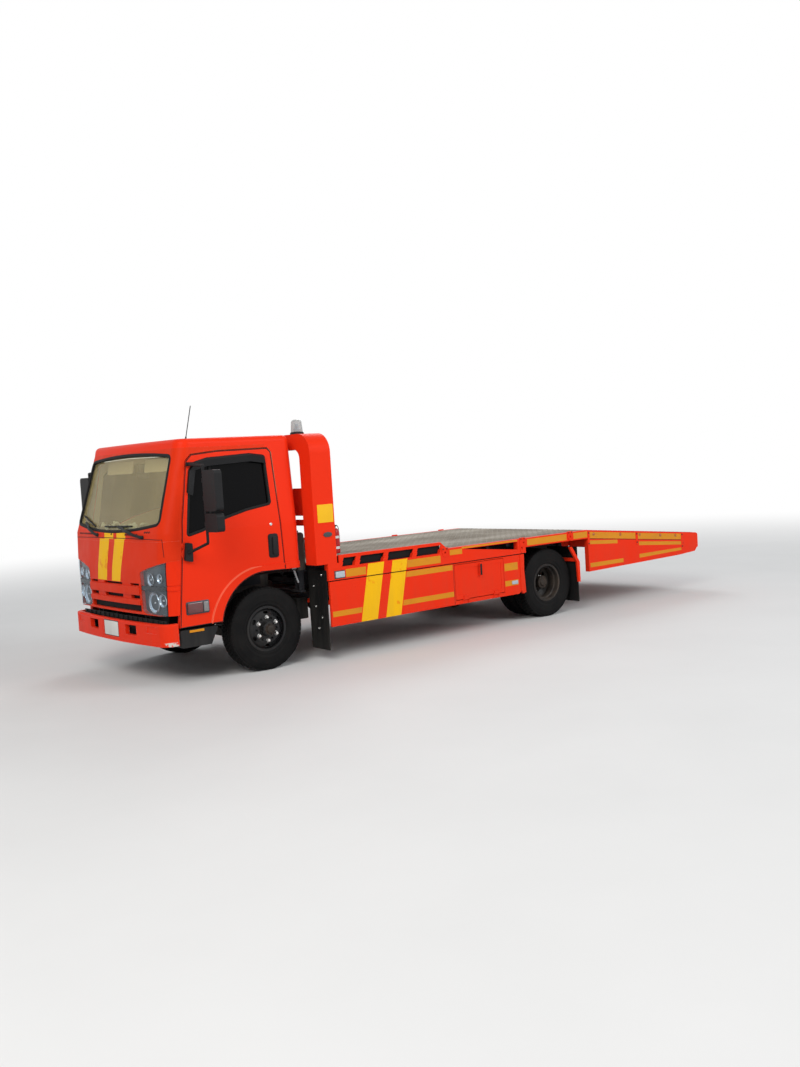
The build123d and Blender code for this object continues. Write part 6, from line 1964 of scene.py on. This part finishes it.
class TRUCK_OT_cab_inside(Operator):
    """Sun visors, inner mirror, instruments, papers on the dashboard and door grips"""
    bl_idname = "truck.cab_inside"
    bl_label = "Inside of the cab"

    def execute(self, context):
        bm = bmesh.new()
        for y0, y1 in ((0.130, 0.700), (-0.700, -0.130)):
            part = bmesh.new()
            outline_plate(part, rectangle(y0, y1, 1.962, 2.085, 0.025), -0.008, 0.008, 0, 0.004)
            bmesh.ops.transform(part, matrix=Matrix.Translation((fx(0.748), 0, 0)), verts=part.verts)
            for vert in part.verts:
                vert.co.x -= (vert.co.z - 2.02) * 0.20
            join(bm, part)
        new_piece("sun_visors", bm, "beige", "cab", 40)
        bm = bmesh.new()
        outline_plate(bm, rectangle(-0.125, 0.125, 1.905, 1.968, 0.022), fx(0.700), fx(0.722), 0, 0.006)
        tube(bm, [(fx(0.722), 0, 1.940), (fx(0.750), 0, 1.990), (fx(0.765), 0, 2.060)], 0.0065, 10)
        new_piece("inner_mirror", bm, "black", "cab", 40)
        self.dash()
        both_sides(self.door_inside)
        return {"FINISHED"}

    def dash(self):
        top = Skin("dashboard")

        def seat(x, y):
            hit = top.seen((fx(x), y, 2.0), (0, 0, -1))
            return hit[0].z if hit else 1.40

        bm = bmesh.new()
        for k in range(30):
            y = -0.72 + k * 0.050
            if -0.10 < y < 0.10:
                continue
            z = seat(0.955, y)
            block(bm, (fx(0.945), y, z - 0.002), (fx(0.985), y + 0.034, z + 0.003), 0.0015)
        # Instrument hood and the centre panel with its knobs
        z = seat(0.800, 0.530)
        turned(bm, [(-0.17, 0.075), (-0.16, 0.088), (0.16, 0.088), (0.17, 0.075), (0.17, 0.0)],
               (fx(0.800), 0.530, z - 0.035), (0, 1, 0), 28)
        outline_plate(bm, round_corners([(-0.130, 1.170), (0.130, 1.170), (0.120, 1.330), (-0.120, 1.330)],
                                        0.015), fx(0.692), fx(0.712), 0, 0.004)
        for y in (-0.075, 0.0, 0.075):
            turned(bm, [(-0.004, 0.018), (0.014, 0.016), (0.016, 0.0)], (fx(0.692), y, 1.215), (-1, 0, 0), 20)
        tube(bm, [(fx(0.640), 0.330, 1.395), (fx(0.615), 0.240, 1.420)], 0.007, 10)
        tube(bm, [(fx(0.640), 0.730, 1.395), (fx(0.615), 0.800, 1.420)], 0.007, 10)
        new_piece("dash_panel", bm, "black", "cab", 40)
        # Loose crumpled papers lying along the dashboard
        sheets = (
            (0.862, -0.420, 0.300, 0.120, 8, 0.060), (0.868, -0.150, 0.210, 0.128, -14, 0.048),
            (0.866, 0.080, 0.297, 0.120, 5, 0.066), (0.866, 0.280, 0.220, 0.110, -6, 0.040),
            (0.860, -0.640, 0.200, 0.120, 12, 0.040), (0.862, -0.020, 0.200, 0.115, 24, 0.052),
            (0.864, -0.300, 0.180, 0.110, -22, 0.070),
        )
        bm = bmesh.new()
        for number, (x, y, long, deep, turn, rise) in enumerate(sheets):
            n = 14
            a = math.radians(turn)
            grid = []
            for i in range(n + 1):
                row = []
                for j in range(n + 1):
                    u, v = (i / n - 0.5) * deep, (j / n - 0.5) * long
                    px, py = x + u * math.cos(a) - v * math.sin(a), y + u * math.sin(a) + v * math.cos(a)
                    wave = math.sin(v * 31 + number * 1.7) * 0.40 + math.sin(u * 47 + number) * 0.30 + 0.70
                    crumple = math.sin(v * 83 + u * 61 + number * 2.3) * 0.14
                    crumple += math.sin(v * 57 - u * 97 + number) * 0.10
                    z = seat(px, py) + 0.002 + number * 0.0012 + rise * max(0.0, wave + crumple)
                    row.append(bm.verts.new((fx(px), py, z)))
                grid.append(row)
            for i in range(n):
                for j in range(n):
                    bm.faces.new((grid[i][j], grid[i + 1][j], grid[i + 1][j + 1], grid[i][j + 1]))
        bmesh.ops.recalc_face_normals(bm, faces=bm.faces)
        bmesh.ops.solidify(bm, geom=bm.faces[:], thickness=0.0012)
        new_piece("dash_papers", bm, "paper", "cab", 60)

    def door_inside(self, word, sign):
        """Arm rest, window winder and pull on the inner face of a door."""
        skin = skin_tree("door_" + word)

        def face(x, z):
            spot = skin.ray_cast(Vector((fx(x), sign * 0.5, z)), Vector((0, sign, 0)), 1.0)[0]
            return spot.y if spot else sign * 0.93

        bm = bmesh.new()
        y = face(0.300, 1.150)
        ys = sorted((y + sign * 0.002, y - sign * 0.060))
        rest = [(fx(0.080), 1.130), (fx(0.560), 1.130), (fx(0.560), 1.178), (fx(0.080), 1.190)]
        outline_plate(bm, round_corners(rest, 0.018), ys[0], ys[1], 1, 0.008)
        new_piece("arm_rest_" + word, bm, "beige", "door_" + word, 40)
        bm = bmesh.new()
        y = face(0.420, 1.290)
        handle = [(fx(0.330), y, 1.300), (fx(0.330), y - sign * 0.034, 1.300),
                  (fx(0.500), y - sign * 0.034, 1.330), (fx(0.500), y, 1.330)]
        tube(bm, rounded_path(handle, 0.02, 4), 0.008, 10)
        y = face(0.180, 1.060)
        turned(bm, [(-0.002, 0.020), (0.018, 0.016), (0.020, 0.0)], (fx(0.180), y, 1.060), (0, -sign, 0), 20)
        tube(bm, [(fx(0.180), y - sign * 0.016, 1.060), (fx(0.255), y - sign * 0.024, 1.085)], 0.006, 10)
        turned(bm, [(0.0, 0.010), (0.026, 0.010), (0.030, 0.0)], (fx(0.255), y - sign * 0.022, 1.085),
               (0, -sign, 0), 14)
        new_piece("door_pull_" + word, bm, "black", "door_" + word, 40)


class TRUCK_OT_chassis_trim(Operator):
    """Spring bolts, guard bolts, the tank behind the cab, battery boxes, pipes and frame bolts"""
    bl_idname = "truck.chassis_trim"
    bl_label = "Chassis trim"

    def execute(self, context):
        both_sides(self.springs)
        both_sides(self.guards)
        self.behind_cab()
        self.rails()
        return {"FINISHED"}

    def springs(self, word, sign):
        """Two bent bolts over each spring at each axle, with nuts on their four legs."""
        for where, x, half_x, y_mid, width, high, low in (
            ("front", FRONT_AXLE, 0.060, 0.375, 0.070, 0.486, 0.335),
            ("rear", REAR_AXLE, 0.075, 0.490, 0.080, 0.545, 0.300),
        ):
            leaf = skin_tree("leaf_springs")
            spot = leaf.ray_cast(Vector((x + 0.02, sign * y_mid, 1.0)), Vector((0, 0, -1)), 1.0)[0]
            top = spot.z if spot else high
            bm = bmesh.new()
            for dx in (-half_x, half_x):
                y0, y1 = sign * y_mid - width / 2 - 0.009, sign * y_mid + width / 2 + 0.009
                tube(bm, rounded_path([(x + dx, y0, low), (x + dx, y0, top + 0.009),
                                       (x + dx, y1, top + 0.009), (x + dx, y1, low)], 0.025, 5), 0.008, 10)
                for y in (y0, y1):
                    hexagon(bm, (x + dx, y, low + 0.016), (0, 0, -1), 0.014, 0.014)
            new_piece("spring_bolts_%s_%s" % (where, word), bm, "hub", "chassis")

    def guards(self, word, sign):
        skin = skin_tree("mud_guards")
        bm = bmesh.new()
        for y, z in ((0.916, 0.743), (1.035, 0.435), (0.970, 0.325), (1.060, 0.860), (0.925, 0.540)):
            spot = skin.ray_cast(Vector((fx(-0.40), sign * y, z)), Vector((-1, 0, 0)), 0.3)[0]
            if spot is None:
                continue
            turned(bm, [(-0.001, 0.015), (0.002, 0.0148), (0.0025, 0.010)], spot, (1, 0, 0), 20)
            hexagon(bm, spot + Vector((0.002, 0, 0)), (1, 0, 0), 0.0095, 0.008)
        new_piece("guard_bolts_" + word, bm, "nut", "chassis")
        # Stiffening ribs pressed into the lower guard
        bm = bmesh.new()
        for y in (0.905, 0.985, 1.065):
            spots = []
            for z in np.linspace(0.26, 0.80, 20):
                spot = skin.ray_cast(Vector((fx(-0.40), sign * y, z)), Vector((-1, 0, 0)), 0.3)[0]
                if spot:
                    spots.append((spot, Vector((1, 0, 0))))
            if len(spots) > 3:
                bead(bm, spots, round_section(0.010, 0.003, 0.001), False)
        new_piece("guard_ribs_" + word, bm, "flap", "chassis", 50)

    def behind_cab(self):
        """Round olive tank on its bracket behind the cab, and the battery boxes below."""
        x, y = fx(-0.490), 0.800
        bm = bmesh.new()
        profile = [(0.905, 0.0), (0.905, 0.052), (0.912, 0.064), (0.925, 0.070), (1.255, 0.070),
                   (1.270, 0.064), (1.280, 0.050), (1.284, 0.0)]
        turned(bm, profile, (x, y, 0), (0, 0, 1), 40)
        for z in (0.985, 1.190):
            turned(bm, [(z - 0.012, 0.0702), (z - 0.012, 0.0722), (z + 0.012, 0.0722), (z + 0.012, 0.0702)],
                   (x, y, 0), (0, 0, 1), 40, closed=True)
        turned(bm, [(1.284, 0.020), (1.300, 0.020), (1.302, 0.0)], (x, y, 0), (0, 0, 1), 20)
        new_piece("rear_tank", bm, "olive", "chassis")
        bm = bmesh.new()
        block(bm, (x - 0.030, 0.340, 0.690), (x + 0.030, 0.860, 0.706), 0.003)
        block(bm, (x - 0.030, 0.760, 0.700), (x + 0.030, 0.772, 0.930), 0.003)
        block(bm, (x - 0.030, 0.828, 0.700), (x + 0.030, 0.840, 0.930), 0.003)
        block(bm, (x - 0.050, 0.745, 0.893), (x + 0.050, 0.855, 0.907), 0.003)
        new_piece("tank_bracket", bm, "chassis", "chassis")
        both_sides(self.battery)

    def battery(self, word, sign):
        bm = bmesh.new()
        y0, y1 = sorted((sign * 0.485, sign * 0.720))
        block(bm, (fx(-0.630), y0, 0.400), (fx(-0.500), y1, 0.600), 0.012)
        block(bm, (fx(-0.636), y0 - 0.004, 0.590), (fx(-0.494), y1 + 0.004, 0.616), 0.006)
        a, b = sorted((sign * 0.370, sign * 0.495))
        block(bm, (fx(-0.580), a, 0.480), (fx(-0.550), b, 0.520), 0.003)
        for yy in (y0 + 0.06, y1 - 0.06):
            block(bm, (fx(-0.640), yy - 0.012, 0.396), (fx(-0.490), yy + 0.012, 0.620), 0.003)
        new_piece("battery_box_" + word, bm, "flap", "chassis")

    def rails(self):
        """Pipes clipped to the frame rails and bolt heads along them."""
        bm = bmesh.new()
        for sign in (1, -1):
            for z, r in ((0.655, 0.005), (0.640, 0.004), (0.622, 0.006)):
                tube(bm, [(fx(-0.62), sign * 0.3815, z), (fx(-2.42), sign * 0.3815, z)], r, 8)
            y0, y1 = sorted((sign * 0.374, sign * 0.389))
            for x in np.arange(-0.75, -2.40, -0.33):
                block(bm, (fx(x) - 0.008, y0, 0.612), (fx(x) + 0.008, y1, 0.664), 0.002)
        new_piece("rail_pipes", bm, "hub", "chassis", 40)
        bolts = bmesh.new()
        for sign in (1, -1):
            for z in (0.545, 0.675):
                one = bmesh.new()
                hexagon(one, (0, 0, 0), (0, sign, 0), 0.0095, 0.008)
                join(bolts, repeated(one, line_tree(finish_of("hub")), {"Copies": 18, "Step": (-0.150, 0, 0)},
                                     (fx(-0.68), sign * 0.375, z)))
        new_piece("rail_bolts", bolts, "hub", "chassis")


class TRUCK_OT_winch_rope(Operator):
    """Steel rope wound on the winch drum"""
    bl_idname = "truck.winch_rope"
    bl_label = "Winch rope"

    def execute(self, context):
        x, z = fx(-1.080), 1.083
        bm = bmesh.new()
        radius, wire, half = 0.0625, 0.0050, 0.210
        turns = int(2 * half / (2 * wire)) - 2
        steps = 18
        path = []
        for k in range(turns * steps + 1):
            a = 2 * math.pi * k / steps
            path.append((x + radius * math.cos(a), -half + wire + 2 * wire * k / steps,
                         z + radius * math.sin(a)))
        tube(bm, path, wire, 6)
        new_piece("rope_on_drum", bm, "rope", "bed", 60)
        return {"FINISHED"}


# Stage

class TRUCK_OT_stage(Operator):
    """Pale floor, soft light and the camera"""
    bl_idname = "truck.stage"
    bl_label = "Stage and camera"

    def execute(self, context):
        scene = context.scene
        scene.view_settings.view_transform = "Standard"
        lay_floor()
        light_world(scene)
        hang_lights(scene)
        scene.camera = photo_camera(scene)
        return {"FINISHED"}


def lay_floor():
    """Wide pale floor that turns to plain white far away."""
    bm = bmesh.new()
    bmesh.ops.create_circle(bm, cap_ends=True, radius=90, segments=96)
    mesh = bpy.data.meshes.new("floor")
    bm.to_mesh(mesh)
    bm.free()
    floor = bpy.data.objects.new("floor", mesh)
    bpy.context.scene.collection.objects.link(floor)
    f = Finish("pale floor")
    grain = f.noise(0.9, 4, seed=2.0)
    pale = f.mix(grain, (0.66, 0.66, 0.655), (0.72, 0.72, 0.715))
    surface = f.shader("BsdfPrincipled", {"Base_Color": pale, "Roughness": 0.75})
    far = ((f.x * f.x + f.y * f.y) ** 0.5).ramp(6.0, 19.0)
    mesh.materials.append(f.show(f.blend(far, surface, f.shader("Emission", {}))))


def light_world(scene):
    """Plain light all round, with white behind for what is seen, mirrored or seen through."""
    world = bpy.data.worlds.new("plain light")
    scene.world = world
    world.use_nodes = True
    tree = world.node_tree
    tree.nodes.clear()
    out = tree.nodes.new("ShaderNodeOutputWorld")
    rays = tree.nodes.new("ShaderNodeLightPath")
    room = tree.nodes.new("ShaderNodeBackground")
    room.inputs["Color"].default_value = (0.93, 0.96, 1.0, 1.0)
    room.inputs["Strength"].default_value = 0.42
    seen = tree.nodes.new("ShaderNodeBackground")
    seen.inputs["Color"].default_value = (1.0, 1.0, 1.0, 1.0)
    seen.inputs["Strength"].default_value = 1.0
    total = rays.outputs["Is Camera Ray"]
    for name in ("Is Glossy Ray", "Is Transmission Ray"):
        add = tree.nodes.new("ShaderNodeMath")
        add.operation = "MAXIMUM"
        tree.links.new(total, add.inputs[0])
        tree.links.new(rays.outputs[name], add.inputs[1])
        total = add.outputs[0]
    blend = tree.nodes.new("ShaderNodeMixShader")
    tree.links.new(total, blend.inputs[0])
    tree.links.new(room.outputs[0], blend.inputs[1])
    tree.links.new(seen.outputs[0], blend.inputs[2])
    tree.links.new(blend.outputs[0], out.inputs[0])


def hang_lights(scene):
    """A broad key light over the camera's shoulder and a weaker one from the other side."""
    table = (
        ("key light", (13.0, 9.0, 11.0), 9.0, 1500, (1.0, 0.97, 0.93)),
        ("side light", (-6.0, 14.0, 9.0), 9.0, 1150, (0.96, 0.98, 1.0)),
        ("back light", (-9.0, -11.0, 12.0), 8.0, 700, (1.0, 1.0, 1.0)),
    )
    for name, spot, size, power, colour in table:
        light = bpy.data.lights.new(name, "AREA")
        light.shape = "DISK"
        light.size = size
        light.energy = power
        light.color = colour
        holder = bpy.data.objects.new(name, light)
        holder.location = spot
        holder.rotation_euler = (Vector((0, 0, 0.8)) - Vector(spot)).to_track_quat("-Z", "Y").to_euler()
        scene.collection.objects.link(holder)


def photo_camera(scene):
    """Camera at the photograph's place and angle."""
    eye = bpy.data.cameras.new("camera")
    eye.sensor_fit = "HORIZONTAL"
    eye.sensor_width = 36.0
    eye.lens = 47.86
    holder = bpy.data.objects.new("camera", eye)
    yaw, pitch, roll = (math.radians(a) for a in (-129.3, -3.819, -3.484))
    ahead = Vector((math.cos(pitch) * math.cos(yaw), math.cos(pitch) * math.sin(yaw), math.sin(pitch)))
    level = Vector((math.sin(yaw), -math.cos(yaw), 0.0))
    upright = level.cross(ahead)
    right = level * math.cos(roll) + upright * math.sin(roll)
    up = upright * math.cos(roll) - level * math.sin(roll)
    place = Matrix((right, up, -ahead)).transposed().to_4x4()
    place.translation = Vector((8.141, 9.61, 1.913))
    holder.matrix_world = place
    scene.collection.objects.link(holder)
    return holder


class TRUCK_PT_panel(Panel):
    """Buttons that paint and dress the truck"""
    bl_idname = "TRUCK_PT_panel"
    bl_label = "Recovery truck"
    bl_space_type = "VIEW_3D"
    bl_region_type = "UI"
    bl_category = "Truck"

    def draw(self, context):
        column = self.layout.column()
        for group in (context.scene.truck_colours, context.scene.truck_sizes):
            for key in group.bl_rna.properties.keys():
                if key not in ("rna_type", "name"):
                    column.prop(group, key)
        for operator in OPERATORS:
            column.operator(operator.bl_idname)


OPERATORS = (
    TRUCK_OT_paint,
    TRUCK_OT_tyres,
    TRUCK_OT_wheel_trim,
    TRUCK_OT_seals,
    TRUCK_OT_door_trim,
    TRUCK_OT_arch_liners,
    TRUCK_OT_headlamps,
    TRUCK_OT_front_trim,
    TRUCK_OT_tapes,
    TRUCK_OT_bed_trim,
    TRUCK_OT_deck_plates,
    TRUCK_OT_extinguisher,
    TRUCK_OT_seats,
    TRUCK_OT_cab_inside,
    TRUCK_OT_chassis_trim,
    TRUCK_OT_winch_rope,
    TRUCK_OT_stage,
)
CLASSES = (TruckColours, TruckSizes, *OPERATORS, TRUCK_PT_panel)


def register():
    for entry in CLASSES:
        bpy.utils.register_class(entry)
    bpy.types.Scene.truck_colours = PointerProperty(type=TruckColours)
    bpy.types.Scene.truck_sizes = PointerProperty(type=TruckSizes)


def unregister():
    del bpy.types.Scene.truck_sizes
    del bpy.types.Scene.truck_colours
    for entry in reversed(CLASSES):
        bpy.utils.unregister_class(entry)


def main():
    register()
    for operator in OPERATORS:
        kind, name = operator.bl_idname.split(".")
        getattr(getattr(bpy.ops, kind), name)()


if __name__ == "__main__":
    main()
